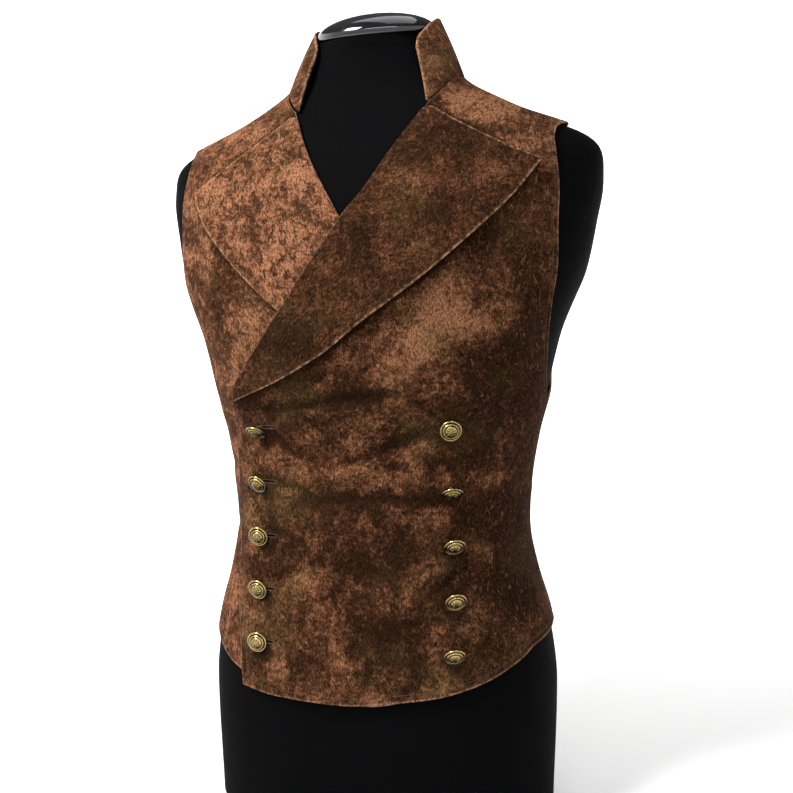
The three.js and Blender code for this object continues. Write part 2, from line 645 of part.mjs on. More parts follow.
function vest() {
  const group = new THREE.Group();
  const rightFront = named("right_front", buildRightFront(), materials.suede);
  const leftFront = named("left_front", buildLeftFront(), materials.suede);
  SEWN_BUTTONS.forEach((button, row) => {
    group.add(buildButton("button_sewn_" + (row + 1), button, leftFront, 0));
  });
  FASTENED_BUTTONS.forEach((button, row) => {
    const seat = buttonSeat(leftFront, button);
    const through = meetingWith(rightFront, seat.angle, seat.z).distanceTo(seat.point);
    group.add(buildButton("button_fastened_" + (row + 1), button, leftFront, through));
  });
  leftFront.geometry = withButtonholes(leftFront);
  group.add(rightFront, leftFront);
  group.add(named("right_lapel", lapelWall(RIGHT_LAPEL, rightFrontLift, RIGHT_PROUD, -1), materials.suede));
  group.add(named("left_lapel", lapelWall(LEFT_LAPEL, leftFrontLift, LEFT_PROUD, 1), materials.suede));
  group.add(named("back", buildBack(), materials.suede));
  group.add(named("collar", buildCollar(), materials.suede));
  return group;
}

const part = new THREE.Group();
part.add(dressForm(), vest());
export default part;
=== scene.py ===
"""A double-breasted suede vest on a limbless dress form, dressed around its packed construction.

The form is a stack of rings. Every piece of suede is a thin shell laid on that surface and moved out
along its normal by as many layers as lie under it. A place on the surface is an angle round the body
(0 at the wearer's left, 90 at the front) and a ring height. The right half uses mirrored angles.
Sizes are in millimetres until a mesh is made. The front faces -Y and the wearer's left is +X.
"""

from __future__ import annotations

import logging
import math
from dataclasses import dataclass, field
from enum import Enum
from typing import Callable, Sequence

import bpy
import numpy as np
from mathutils import Matrix, Vector

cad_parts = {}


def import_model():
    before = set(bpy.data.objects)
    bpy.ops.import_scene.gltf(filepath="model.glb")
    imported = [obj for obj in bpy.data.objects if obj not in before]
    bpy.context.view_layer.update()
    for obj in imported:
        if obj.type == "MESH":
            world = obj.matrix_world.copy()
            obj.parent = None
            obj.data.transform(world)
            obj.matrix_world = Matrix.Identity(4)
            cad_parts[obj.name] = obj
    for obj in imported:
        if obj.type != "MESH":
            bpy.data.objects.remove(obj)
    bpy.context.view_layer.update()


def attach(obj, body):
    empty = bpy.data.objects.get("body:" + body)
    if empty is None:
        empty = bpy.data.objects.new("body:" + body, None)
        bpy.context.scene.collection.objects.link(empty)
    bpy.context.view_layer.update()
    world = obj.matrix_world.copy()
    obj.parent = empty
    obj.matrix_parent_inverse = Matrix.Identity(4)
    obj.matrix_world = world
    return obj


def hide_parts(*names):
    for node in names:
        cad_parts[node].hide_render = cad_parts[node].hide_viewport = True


LOG = logging.getLogger("suede_vest")
Array = np.ndarray
Material = bpy.types.Material

MM = 0.001
BODY = "root"

CLOTH = 2.0
COLLAR_CLOTH = 2.6
SEAT_GAP = 1.5
LAYER_GAP = 1.5
LAPEL_GAP = 1.1
LAPEL_ROOM = 1.7
COLLAR_SEAM_GAP = 0.6
OVERLAP_MARGIN = 8.0
OVERLAP_FADE = 40.0
LAPEL_RISE = 24.0
SEAM_ANGLE = -3.0
SEAM_HALF_TURN = 0.34
WAIST_Z = 300.0
CLOSING_Z = 434.0
NECK_TILT = 0.27
NECK_CENTRE_Y = -6.0
NECK_START_Z = 780.0
NECK_TOP_Z = 815.0
RIPPLE_SLOW = 0.45
RIPPLE_QUICK = 0.16


class Side(Enum):
    """The wearer's side that a piece belongs to, as the sign of its x."""

    LEFT = 1
    RIGHT = -1


# ---------------- curves and tables
def smoothstep(low: float, high: float, value: Array) -> Array:
    """Goes from 0 at low to 1 at high, with level ends; low may be the larger of the two."""
    t = np.clip((value - low) / (high - low), 0.0, 1.0)
    return t * t * (3.0 - 2.0 * t)


class Curve:
    """A smooth curve through knots that never overshoots them."""

    def __init__(self, at: Array, value: Array) -> None:
        """Works out the slope at each knot.

        Args:
            at: The places of the knots, going up.
            value: The value at each of them.
        """
        self.at = at
        self.value = value
        slope = np.diff(value) / np.diff(at)
        before, after = slope[:-1], slope[1:]
        same_way = before * after > 0
        total = np.where(same_way, before + after, 1.0)
        inner = np.where(same_way, 2 * before * after / total, 0.0)
        self.tangent = np.concatenate([slope[:1], inner, slope[-1:]])

    def __call__(self, place: Array) -> Array:
        """Reads the curve.

        Args:
            place: The places, held at the end knots past them.

        Returns:
            The values there.
        """
        t = np.clip(place, self.at[0], self.at[-1])
        i = np.clip(np.searchsorted(self.at, t, side="right") - 1, 0, len(self.at) - 2)
        h = self.at[i + 1] - self.at[i]
        s = (t - self.at[i]) / h
        start = (2 * s**3 - 3 * s**2 + 1) * self.value[i]
        end = (3 * s**2 - 2 * s**3) * self.value[i + 1]
        bend = (s**3 - 2 * s**2 + s) * self.tangent[i] + (s**3 - s**2) * self.tangent[i + 1]
        return start + end + h * bend


def table(names: str, rows: Sequence[Sequence[float]]) -> dict[str, Curve]:
    """Makes a curve for each named column of a table, whose first column is the place."""
    values = np.array(rows, float)
    return {name: Curve(values[:, 0], values[:, i + 1]) for i, name in enumerate(names.split())}


LEFT_HEM = table("z", [
    (-3, 196), (17, 186), (23, 177), (37, 159), (52, 147), (65, 142), (92, 135), (120, 136), (150, 145),
])
RIGHT_HEM = table("z", [
    (-3, 192), (17, 180), (25, 170), (33, 159), (42, 150), (60, 139), (75, 132), (100, 133),
    (118, 141), (130, 150),
])
BACK_HEM = table("z", [(-90, 184), (-50, 187), (-20, 193), (-3, 195)])
FRONT_SIDE = table("angle z", [
    (0.0, -3, 195), (0.22, -3, 270), (0.42, -3, 365), (0.52, -3, 421), (0.57, 7, 443), (0.65, 13, 484),
    (0.75, 18, 540), (0.83, 19, 590), (0.89, 18, 637), (0.93, 16, 678), (0.955, 12, 696), (0.98, 5, 704),
    (1, -3, 707),
])
LEFT_EDGE = table("x z", [
    (0.0, -114, 141), (0.1, -120, 190), (0.22, -127, 245), (0.36, -131, 316), (0.45, -129, 375),
    (0.52, -123, CLOSING_Z), (0.6, -85, 482), (0.68, -47, 530), (0.8, 1, 602), (0.9, 37, 664), (1, 71, 727),
])
RIGHT_EDGE_ROWS = [
    (0.0, -104, 152), (0.22, -108, 245), (0.36, -110, 316), (0.45, -109, 375), (0.52, -106, CLOSING_Z),
    (0.6, -72, 485), (0.68, -40, 537), (0.8, 6, 605), (0.9, 46, 670), (1, 72, 727),
]
RIGHT_EDGE = table("x z", RIGHT_EDGE_ROWS)
COVERED = table("x", [(z, -x) for _, x, z in RIGHT_EDGE_ROWS])
BACK_SIDE = table("angle z", [
    (0.0, -3, 195), (0.25, -3, 290), (0.5, -3, 421), (0.57, -12, 455), (0.67, -20, 515), (0.78, -23, 585),
    (0.86, -20, 640), (0.92, -15, 680), (0.96, -9, 700), (1, -3, 707),
])
NECK_SEAM = table("z", [(-90, 778), (-60, 776), (-30, 772), (0, 764), (21, 753), (41, 728)])
COLLAR_TOP = table("z", [(-90, 840), (-40, 838), (0, 829), (20, 817), (34, 803), (41, 795)])
LAPEL_COLUMNS = "fold_x fold_z edge_x edge_z"
LEFT_LAPEL = table(LAPEL_COLUMNS, [
    (0.0, -122, CLOSING_Z + 2, -117, CLOSING_Z - 1), (0.15, -95, 469, -64, 453), (0.32, -62, 510, -18, 476),
    (0.5, -25, 562, 32, 510), (0.66, 7, 612, 78, 544), (0.8, 34, 659, 118, 580), (0.91, 54, 695, 157, 621),
    (1, 70, 722, 181, 655),
])
RIGHT_LAPEL = table(LAPEL_COLUMNS, [
    (0.0, -105, CLOSING_Z + 2, -101, CLOSING_Z - 1), (0.15, -82, 470, -50, 455), (0.32, -52, 518, -4, 478),
    (0.5, -14, 575, 48, 508), (0.66, 16, 622, 92, 543), (0.8, 43, 665, 130, 580), (0.91, 62, 700, 158, 612),
    (1, 71, 722, 174, 644),
])


# ---------------- the body surface
class Body:
    """The form's surface: rings that are squarish ellipses, tipped forward at the top of the neck."""

    EASE = ((-8.0, 0.25), (0.0, 0.5), (8.0, 0.25))
    STEP = 0.5
    FRONT_ANGLES = (0.5, 179.5)
    HALVINGS = 30

    def __init__(self) -> None:
        """Sets the rings: half width, depth in front of and behind the middle, and squareness."""
        self.rings = table("half front back power", [
            (0, 182, 122, 122, 2.3), (134, 187, 127, 122, 2.3), (170, 184, 124, 116, 2.3),
            (205, 177.5, 119, 108, 2.3), (250, 164.5, 111, 95, 2.3), (WAIST_Z, 156, 106, 88, 2.3),
            (350, 159.5, 107, 91, 2.3), (395, 167, 112, 99, 2.3), (430, 177, 120, 106, 2.3),
            (470, 186.5, 129, 112, 2.3), (500, 194.5, 133, 116, 2.3), (530, 207, 133, 119, 2.3),
            (560, 220, 129, 121, 2.3), (610, 231, 117, 120, 2.3), (650, 238, 102, 113, 2.3),
            (675, 238, 90, 105, 2.3), (690, 231, 81, 98, 2.3), (703, 209, 74, 91, 2.3),
            (720, 164, 67, 83, 2.3), (740, 126, 62, 76, 2.2), (757, 98, 59, 71, 2.1),
            (775, 83, 59, 66, 2.0), (792, 73, 60, 59, 2.0), (815, 64, 63, 51, 2.0),
        ])

    def ring(self, name: str, z: Array) -> Array:
        """A ring measure at a height, eased over a few millimetres either way."""
        return sum(share * self.rings[name](z + away) for away, share in self.EASE)

    def point(self, angle: Array, z: Array) -> Array:
        """Points on the surface.

        Args:
            angle: Angles round the body in degrees.
            z: Ring heights.

        Returns:
            The points, along a last axis.
        """
        turn = np.radians(angle)
        depth = np.where(np.sin(turn) >= 0, self.ring("front", z), self.ring("back", z))
        power = self.ring("power", z)
        across = np.abs(np.cos(turn)) / self.ring("half", z)
        away = np.abs(np.sin(turn)) / depth
        radius = (across**power + away**power) ** (-1 / power)
        y = -radius * np.sin(turn)
        tilt = NECK_TILT * smoothstep(NECK_START_Z, NECK_TOP_Z, z)
        return np.stack([radius * np.cos(turn), y, z + tilt * (y - NECK_CENTRE_Y)], axis=-1)

    def normal(self, angle: Array, z: Array) -> Array:
        """Normals of the surface.

        Args:
            angle: Angles round the body in degrees.
            z: Ring heights.

        Returns:
            The outward unit normals, along a last axis.
        """
        turn = self.point(angle + self.STEP, z) - self.point(angle - self.STEP, z)
        rise = self.point(angle, z + self.STEP) - self.point(angle, z - self.STEP)
        across = np.cross(rise, turn)
        return across / np.linalg.norm(across, axis=-1, keepdims=True)

    def off(self, angle: Array, z: Array, out: Array, side: Side = Side.LEFT) -> Array:
        """Points moved out along the normal, mirrored for the wearer's right."""
        point = self.point(angle, z) + self.normal(angle, z) * np.asarray(out)[..., None]
        return point * np.array([side.value, 1.0, 1.0])

    def front_angle(self, x: Array, z: Array) -> Array:
        """Finds where on the front the surface has a given x, by halving.

        Args:
            x: The places across.
            z: The ring heights.

        Returns:
            The angles in degrees.
        """
        x, z = np.broadcast_arrays(np.asarray(x, float), np.asarray(z, float))
        low = np.full(x.shape, self.FRONT_ANGLES[0])
        high = np.full(x.shape, self.FRONT_ANGLES[1])
        for _ in range(self.HALVINGS):
            middle = (low + high) / 2
            beyond = self.point(middle, z)[..., 0] > x
            low = np.where(beyond, middle, low)
            high = np.where(beyond, high, middle)
        return (low + high) / 2


SURFACE = Body()


# ---------------- folds in the cloth
@dataclass(frozen=True)
class Fold:
    """A soft trough from one place to another, with a low ridge along its lower flank."""

    x1: float
    z1: float
    x2: float
    z2: float
    width: float
    depth: float
    ridge: float = 0.35

    END_FADE = 1.6
    END_DEPTH = 0.55
    RIDGE_AWAY = 2.0
    RIDGE_WIDTH = 1.5

    def shape(self, x: Array, z: Array) -> tuple[Array, Array]:
        """Shapes the fold.

        Args:
            x: Places across the cloth.
            z: Places up the cloth.

        Returns:
            The depth of the trough and the height of its ridge there.
        """
        run_x, run_z = self.x2 - self.x1, self.z2 - self.z1
        length = math.hypot(run_x, run_z)
        t = ((x - self.x1) * run_x + (z - self.z1) * run_z) / length**2
        held = np.clip(t, 0.0, 1.0)
        away = np.hypot(x - self.x1 - held * run_x, z - self.z1 - held * run_z)
        above = ((z - self.z1) * run_x - (x - self.x1) * run_z) / length
        fade = np.exp(-(((t - held) * length / (self.END_FADE * self.width)) ** 2))
        thin = self.END_DEPTH + (1 - self.END_DEPTH) * np.sin(np.pi * held)
        trough = self.depth * np.exp(-((away / self.width) ** 2)) * thin
        flank = np.exp(-(((above + self.RIDGE_AWAY * self.width) / (self.RIDGE_WIDTH * self.width)) ** 2))
        return trough, self.ridge * self.depth * flank * fade * thin


CREASE_SHADE_RISE = 1.5
CREASE_FULL_DEPTH = 5.0


def painted_crease_shade(folds: Sequence[Fold], x: Array, z: Array) -> Array:
    """Finds how deep in a fold the cloth is, for the painted shade in its creases.

    Args:
        folds: The folds in the cloth.
        x: Places across it.
        z: Places up it.

    Returns:
        The shares of a full depth, from 0 to about 1.
    """
    # Painted shade: the deeper the fold, the darker the tone.
    deepest = np.zeros_like(x)
    for fold in folds:
        deepest = np.maximum(deepest, fold.shape(x, z - CREASE_SHADE_RISE)[0])
    return deepest / CREASE_FULL_DEPTH


@dataclass(frozen=True)
class Looseness:
    """How far loose cloth stands off over the middle of a panel, and how that fades at its seams."""

    out: float
    half_width: float
    fade_x: float
    low: float
    high: float
    fade_z: float

    def stand_off(self, folds: Sequence[Fold], x: Array, z: Array) -> Array:
        """Works out the room under the cloth: full over the middle, less in the folds.

        Args:
            folds: The folds in the cloth.
            x: Places across it.
            z: Places up it.

        Returns:
            The stand-off there, never negative.
        """
        across = smoothstep(self.half_width + self.fade_x, self.half_width, np.abs(x))
        above = smoothstep(self.low, self.low + self.fade_z, z)
        below = smoothstep(self.high, self.high - self.fade_z, z)
        troughs = np.zeros_like(x)
        ridges = np.zeros_like(x)
        for fold in folds:
            trough, ridge = fold.shape(x, z)
            troughs = troughs + trough**4
            ridges = np.maximum(ridges, ridge)
        return np.maximum(self.out * across * above * below + ridges - troughs**0.25, 0.0)


LEFT_FOLDS = tuple(Fold(*row) for row in (
    (-84, 421, -14, 431, 5.5, 5.0, 0.45), (-14, 431, 52, 438, 6.5, 5.6, 0.6), (16, 448, 60, 494, 7, 3.0),
    (0, 369, 34, 380, 5.5, 4.0), (34, 380, 76, 401, 6, 5.0, 0.6), (-78, 394, -46, 371, 5, 3.4),
    (-42, 329, 24, 335, 6.5, 3.2), (24, 335, 96, 328, 6.5, 4.4, 0.6), (112, 268, 70, 230, 6, 3.6),
    (-96, 352, -58, 344, 5, 2.2), (-92, 300, -48, 288, 5.5, 2.2), (-20, 268, 44, 256, 7, 2.4),
    (-90, 246, -40, 262, 6, 2.0), (20, 210, 78, 196, 7, 2.2), (128, 330, 160, 352, 6, 2.2),
    (122, 300, 158, 286, 6, 2.0),
))
RIGHT_FOLDS = tuple(Fold(*row) for row in (
    (118, 348, 156, 366, 7, 1.2), (126, 306, 156, 292, 6, 1.2), (122, 458, 164, 430, 7, 1.2),
    (102, 520, 138, 470, 8, 1.0),
))
BACK_FOLDS = tuple(Fold(*row) for row in (
    (-96, 318, -14, 330, 8, 3.4), (10, 308, 88, 322, 7.5, 3.2), (-60, 284, 34, 278, 7, 2.6),
    (-118, 352, -58, 366, 7, 2.4), (44, 372, 110, 350, 8, 2.8), (-40, 392, 26, 398, 8, 1.8),
    (-110, 262, -58, 250, 7, 1.8), (62, 258, 112, 268, 7, 1.8), (-150, 470, -96, 520, 9, 1.2),
    (150, 476, 100, 524, 9, 1.2),
))
LOOSE_FRONT = Looseness(out=4.4, half_width=105, fade_x=35, low=180, high=500, fade_z=65)
LOOSE_SIDE = Looseness(out=1.3, half_width=140, fade_x=40, low=190, high=560, fade_z=60)
LOOSE_BACK = Looseness(out=3.2, half_width=120, fade_x=40, low=190, high=560, fade_z=80)
SHOWN_RIGHT_X = (96.0, 124.0)


def ripple(x: Array, z: Array) -> Array:
    """The slight unevenness of all the cloth, the same for every layer at one place."""
    slow = np.sin(x / 31.0 + 1.3 * np.sin(z / 57.0)) * np.sin(z / 43.0 + 0.9 * np.sin(x / 61.0))
    quick = np.sin(x / 14.0 + z / 39.0) * np.sin(z / 17.0 - x / 47.0 + 0.7)
    return RIPPLE_SLOW * slow + RIPPLE_QUICK * quick


def left_lift(angle: Array, z: Array) -> Array:
    """Lifts the left front, which rides up on the right front and its lapel.

    Args:
        angle: Angles round the body.
        z: Ring heights.

    Returns:
        How far its inner face stands off.
    """
    x = SURFACE.point(angle, z)[..., 0]
    edge = COVERED["x"](z) + OVERLAP_MARGIN
    over = smoothstep(0.0, 1.0, (edge + OVERLAP_FADE - x) / OVERLAP_FADE)
    on_lapel = (CLOTH + LAPEL_ROOM) * smoothstep(CLOSING_Z - LAPEL_RISE, CLOSING_Z, z)
    loose = LOOSE_FRONT.stand_off(LEFT_FOLDS, x, z)
    return SEAT_GAP + over * (CLOTH + LAYER_GAP + on_lapel) + loose + ripple(x, z)


def right_lift(angle: Array, z: Array) -> Array:
    """Lifts the right front, of which only the outer part is loose.

    Args:
        angle: Mirrored angles round the body.
        z: Ring heights.

    Returns:
        How far its inner face stands off.
    """
    x = SURFACE.point(angle, z)[..., 0]
    shown = smoothstep(*SHOWN_RIGHT_X, x)
    loose = LOOSE_SIDE.stand_off(RIGHT_FOLDS, x, z)
    return SEAT_GAP + shown * loose + ripple(-x, z)


def back_lift(angle: Array, z: Array) -> Array:
    """How far the back's inner face stands off."""
    x = SURFACE.point(angle, z)[..., 0]
    return SEAT_GAP + LOOSE_BACK.stand_off(BACK_FOLDS, x, z) + ripple(x, z)


@dataclass(frozen=True)
class Patch:
    """A broad soft patch of paler tone, or darker if its tone is negative: some are the suede's own
    mottling, some painted light and shade.
    """

    x: float
    z: float
    half_width: float
    half_height: float
    tone: float

    def weight(self, x: Array, z: Array) -> Array:
        """The patch's part of the tone at places on the cloth."""
        away = ((x - self.x) / self.half_width) ** 2 + ((z - self.z) / self.half_height) ** 2
        return self.tone * np.exp(-away)


# On the fronts, the suede's own mottling with painted light and shade among it: a painted highlight on the
# chest, painted shade in the crease under the lapel and on the far side by the armhole.
FRONT_PATCHES = tuple(Patch(*row) for row in (
    (-92, 400, 20, 11, -0.7), (-9, 362, 48, 12, 0.9), (62, 356, 46, 9, 0.6), (-5, 334, 46, 9, -0.5),
    (28, 272, 44, 22, -0.6), (-8, 204, 22, 26, 0.5), (-48, 242, 20, 26, 0.5), (38, 208, 30, 9, -0.6),
    (128, 417, 34, 22, -1.2), (138, 353, 26, 13, 1.2), (140, 318, 34, 14, -1.0), (130, 280, 16, 24, 1.0),
    (152, 392, 14, 18, 0.9), (118, 214, 14, 22, 0.9), (118, 716, 60, 20, 1.3), (160, 262, 16, 36, -1.1),
    (106, 268, 9, 46, -0.9), (140, 190, 34, 14, 0.3), (100, 514, 36, 36, 1.2), (66, 484, 30, 22, 0.9),
    (178, 520, 18, 60, -1.4), (154, 458, 30, 26, -1.4), (150, 680, 44, 22, 1.0), (150, 618, 20, 24, -0.5),
    (20, 300, 110, 130, -0.42), (150, 330, 40, 150, -1.1), (140, 250, 26, 60, -0.7),
    (30, 190, 90, 26, -0.5), (-158, 245, 22, 50, 0.3), (-128, 590, 18, 22, -1.0),
    (-140, 528, 24, 30, -1.0), (-140, 462, 18, 26, 0.3), (-136, 704, 44, 16, 0.9),
    (-160, 420, 24, 60, -0.6), (-100, 660, 30, 22, 0.5),
))
BACK_PATCHES = tuple(Patch(*row) for row in (
    (-70, 600, 50, 36, 0.45), (60, 560, 40, 50, -0.5), (20, 440, 60, 24, 0.4), (-60, 360, 44, 20, -0.6),
    (80, 330, 34, 16, 0.45), (10, 262, 60, 22, -0.45), (-90, 230, 30, 24, 0.5), (100, 640, 40, 26, 0.35),
    (-20, 690, 60, 22, -0.4),
))
LAPEL_PATCHES = tuple(Patch(*row) for row in (
    (-92, 462, 22, 12, 0.2), (-52, 492, 30, 20, -1.2), (-8, 520, 24, 18, 0.3), (22, 566, 22, 22, -0.6),
    (58, 560, 26, 18, 0.6), (60, 640, 28, 20, 0.5), (104, 612, 26, 18, -0.5), (96, 672, 26, 18, -0.4),
    (140, 640, 24, 22, 0.4),
))
LAPEL_OUTLINE_POINTS = 50
LAPEL_SHADE = 0.55
LAPEL_SHADE_REACH = 13.0
LAPEL_CONTACT_SHADOW_REACH = 2.6


def lapel_outline(lapel: dict[str, Curve]) -> Array:
    """Follows a lapel's free edge and its top, as places on its own side's front.

    Args:
        lapel: The lapel's curves.

    Returns:
        The points of the line.
    """
    v = np.linspace(0.0, 1.0, LAPEL_OUTLINE_POINTS)
    edge = np.stack([lapel["edge_x"](v), lapel["edge_z"](v)], axis=-1)
    top = np.stack([lapel["fold_x"](v[-1:]), lapel["fold_z"](v[-1:])], axis=-1)
    return np.concatenate([edge, top])


def painted_lapel_shadow(outline: Array, x: Array, z: Array) -> Array:
    """Finds how much painted shadow lies next to a lapel's outline.

    Args:
        outline: The points of the lapel's outline.
        x: Places across the front.
        z: Places up it.

    Returns:
        The shade there, from 0 to about 1.5.
    """
    away = np.full(x.shape, np.inf)
    for a, b in zip(outline[:-1], outline[1:]):
        run = b - a
        t = np.clip(((x - a[0]) * run[0] + (z - a[1]) * run[1]) / (run @ run), 0.0, 1.0)
        away = np.minimum(away, np.hypot(x - a[0] - t * run[0], z - a[1] - t * run[1]))
    # Painted shadow: a broad shade fading out from the outline, and a dark contact line along it.
    return LAPEL_SHADE * np.exp(-away / LAPEL_SHADE_REACH) + np.exp(-((away / LAPEL_CONTACT_SHADOW_REACH) ** 2))


def toned(patches: Sequence[Patch], x: Array, z: Array) -> Array:
    """The tone of several patches together."""
    return sum(patch.weight(x, z) for patch in patches)


# ---------------- shells of cloth
@dataclass(frozen=True)
class Spacing:
    """How closely rows or columns stand: finely within a margin of both ends, evenly between."""

    between: int
    fine: float = 1.0
    margin: float = 12.0

    ROOM = 2.6

    def distances(self, lengths: Array) -> Array:
        """Places the rows or columns, with smaller margins where there is little room.

        Args:
            lengths: The total lengths that they are spread over.

        Returns:
            Distances from the start, a row of them for each length.
        """
        share = np.minimum(1.0, lengths / (self.ROOM * self.margin))[:, None]
        near = np.arange(0.0, self.margin, self.fine)[None, :] * share
        even = np.linspace(0.0, 1.0, self.between)[None, :]
        start = self.margin * share
        middle = start + (lengths[:, None] - 2 * start) * even
        return np.concatenate([near, middle, lengths[:, None] - near[:, ::-1]], axis=1)


@dataclass
class Grid:
    """A shell's rows and columns: shares of its two ways, and distances from its four borders."""

    u: Array
    v: Array
    start: Array
    end: Array
    low: Array
    high: Array

    def nearest(self) -> Array:
        """The distance from the nearest border."""
        return np.minimum.reduce([self.start, self.end, self.low, self.high])


Place = Callable[[Array, Array], Array]
MEASURED_LINES = 81
SETTLING_ROUNDS = 3


def even_grid(place: Place, across: Spacing, up: Spacing) -> Grid:
    """Lays out rows and columns at true distances from a patch's borders.

    Args:
        place: The patch: shares u and v to points in millimetres.
        across: The spacing of the columns.
        up: The spacing of the rows.

    Returns:
        The grid.
    """
    share = np.linspace(0.0, 1.0, MEASURED_LINES)
    points = place(*np.meshgrid(share, share))
    across_runs = np.linalg.norm(np.diff(points, axis=1), axis=-1).cumsum(axis=1)
    up_runs = np.linalg.norm(np.diff(points, axis=0), axis=-1).cumsum(axis=0)
    across_runs = np.pad(across_runs, ((0, 0), (1, 0)))
    up_runs = np.pad(up_runs, ((1, 0), (0, 0)))
    widths, heights = across_runs[:, -1], up_runs[-1, :]
    wanted_across, wanted_up = across.distances(widths), up.distances(heights)
    u_of = np.array([np.interp(wanted_across[k], across_runs[k], share) for k in range(len(share))])
    v_of = np.array([np.interp(wanted_up[k], up_runs[:, k], share) for k in range(len(share))])
    rows, columns = v_of.shape[1], u_of.shape[1]
    v = np.repeat(v_of.mean(axis=0)[:, None], columns, axis=1)
    for _ in range(SETTLING_ROUNDS):
        u = np.stack([np.interp(v[:, i], share, u_of[:, i]) for i in range(columns)], axis=1)
        v = np.stack([np.interp(u[j], share, v_of[:, j]) for j in range(rows)], axis=0)
    start = np.stack([np.interp(v[:, i], share, wanted_across[:, i]) for i in range(columns)], axis=1)
    low = np.stack([np.interp(u[j], share, wanted_up[:, j]) for j in range(rows)], axis=0)
    return Grid(u, v, start, np.interp(v, share, widths) - start, low, np.interp(u, share, heights) - low)


def outward(middle: Array) -> Array:
    """Points out of the borders of a grid.

    Args:
        middle: The grid's points.

    Returns:
        Unit vectors out of its borders, zero inside it.
    """
    out = np.zeros_like(middle)
    out[0] += middle[0] - middle[1]
    out[-1] += middle[-1] - middle[-2]
    out[:, 0] += middle[:, 0] - middle[:, 1]
    out[:, -1] += middle[:, -1] - middle[:, -2]
    length = np.linalg.norm(out, axis=-1, keepdims=True)
    return out / np.where(length > 0, length, 1.0)


@dataclass
class Shell:
    """A sheet of cloth between an inner and an outer grid of points, closed by a round rim."""

    inner: Array
    outer: Array
    flat: Array
    paint: dict[str, Array]

    RIM_TURNS = (0.25, 0.5, 0.75)
    RIM_SWELL = 0.85

    def build(self, name: str, material: Material) -> bpy.types.Object:
        """Makes the object, with a UV map in metres of cloth and its painted attributes.

        Args:
            name: The piece's name.
            material: Its finish.

        Returns:
            The piece, at the origin, with its place in its mesh.
        """
        rows, columns = self.outer.shape[:2]
        index = np.arange(rows * columns).reshape(rows, columns)
        border = np.concatenate([index[0, :-1], index[:-1, -1], index[-1, :0:-1], index[:0:-1, 0]])
        middle = (self.inner + self.outer) / 2
        half = (self.outer - self.inner) / 2
        out = outward(middle) * np.linalg.norm(half, axis=-1, keepdims=True)
        flat_points = [part.reshape(-1, 3) for part in (middle, half, out)]
        rims = []
        for turn in self.RIM_TURNS:
            swell = self.RIM_SWELL * math.sin(math.pi * turn)
            lean = math.cos(math.pi * turn) * flat_points[1] + swell * flat_points[2]
            rims.append((flat_points[0] + lean)[border])
        count = rows * columns
        points = np.concatenate([self.outer.reshape(-1, 3), self.inner.reshape(-1, 3), *rims])
        corners = [index[:-1, :-1], index[:-1, 1:], index[1:, 1:], index[1:, :-1]]
        outer_faces = np.stack([c.ravel() for c in corners], axis=1)
        faces = [outer_faces, outer_faces[:, ::-1] + count]
        ring = np.arange(len(border))
        loops = [border, *(2 * count + k * len(border) + ring for k in range(len(rims))), border + count]
        for upper, lower in zip(loops[:-1], loops[1:]):
            faces.append(np.stack([upper, lower, np.roll(lower, -1), np.roll(upper, -1)], axis=1))
        flat = self.flat.reshape(-1, 2)
        uv = np.concatenate([flat, flat, *(flat[border] for _ in rims)])
        piece = mesh_object(name, points, np.concatenate(faces), material)
        paint_uv(piece, uv * MM)
        for label, grid in self.paint.items():
            value = grid.ravel()
            paint_attribute(piece, label, np.concatenate([value, value, *(value[border] for _ in rims)]))
        return piece


def mesh_object(name: str, points: Array, faces: Array | list, material: Material) -> bpy.types.Object:
    """Makes a smooth mesh object from points in millimetres, with its faces turned outwards.

    Args:
        name: The object's name.
        points: Its vertices.
        faces: Its faces, as rows of vertex numbers.
        material: Its finish.

    Returns:
        The object, linked to the scene.
    """
    faces = faces.tolist() if isinstance(faces, Array) else faces
    mesh = bpy.data.meshes.new(name)
    mesh.from_pydata((points * MM).tolist(), [], faces)
    if signed_volume(mesh) < 0:
        mesh.flip_normals()
    mesh.shade_smooth()
    mesh.materials.append(material)
    return linked(name, mesh)


def linked(name: str, data: bpy.types.ID) -> bpy.types.Object:
    """Puts data into the scene as an object at the origin.

    Args:
        name: The object's name.
        data: Its mesh, light or camera.

    Returns:
        The object.
    """
    made = bpy.data.objects.new(name, data)
    bpy.context.scene.collection.objects.link(made)
    return made


def signed_volume(mesh: bpy.types.Mesh) -> float:
    """Measures six times the volume inside a mesh.

    Args:
        mesh: The closed mesh.

    Returns:
        The volume, negative if its faces point in.
    """
    mesh.calc_loop_triangles()
    co = np.empty(len(mesh.vertices) * 3)
    mesh.vertices.foreach_get("co", co)
    corners = np.empty(len(mesh.loop_triangles) * 3, np.int32)
    mesh.loop_triangles.foreach_get("vertices", corners)
    a, b, c = np.moveaxis(co.reshape(-1, 3)[corners.reshape(-1, 3)], 1, 0)
    return float((a * np.cross(b, c)).sum())


def paint_uv(piece: bpy.types.Object, uv: Array) -> None:
    """Gives a piece a UV map.

    Args:
        piece: The piece.
        uv: One pair of numbers for each of its vertices.
    """
    mesh = piece.data
    corner = np.empty(len(mesh.loops), np.int32)
    mesh.loops.foreach_get("vertex_index", corner)
    layer = mesh.uv_layers.new(name="UVMap")
    layer.data.foreach_set("uv", uv[corner].ravel())


def paint_attribute(piece: bpy.types.Object, name: str, values: Array) -> None:
    """Gives a piece a named attribute, with one number for each of its vertices."""
    attribute = piece.data.attributes.new(name, "FLOAT", "POINT")
    attribute.data.foreach_set("value", values.astype(np.float32))


# ---------------- patches of the panels
def mix(a: Array, b: Array, t: Array) -> Array:
    """Goes from a to b, where the last axis holds an angle and a height."""
    return a + (b - a) * np.asarray(t)[..., None]


def pair(angle: Array, z: Array) -> Array:
    """Joins angles and heights along a last axis."""
    return np.stack(np.broadcast_arrays(np.asarray(angle, float), np.asarray(z, float)), axis=-1)


Border = Callable[[Array], Array]


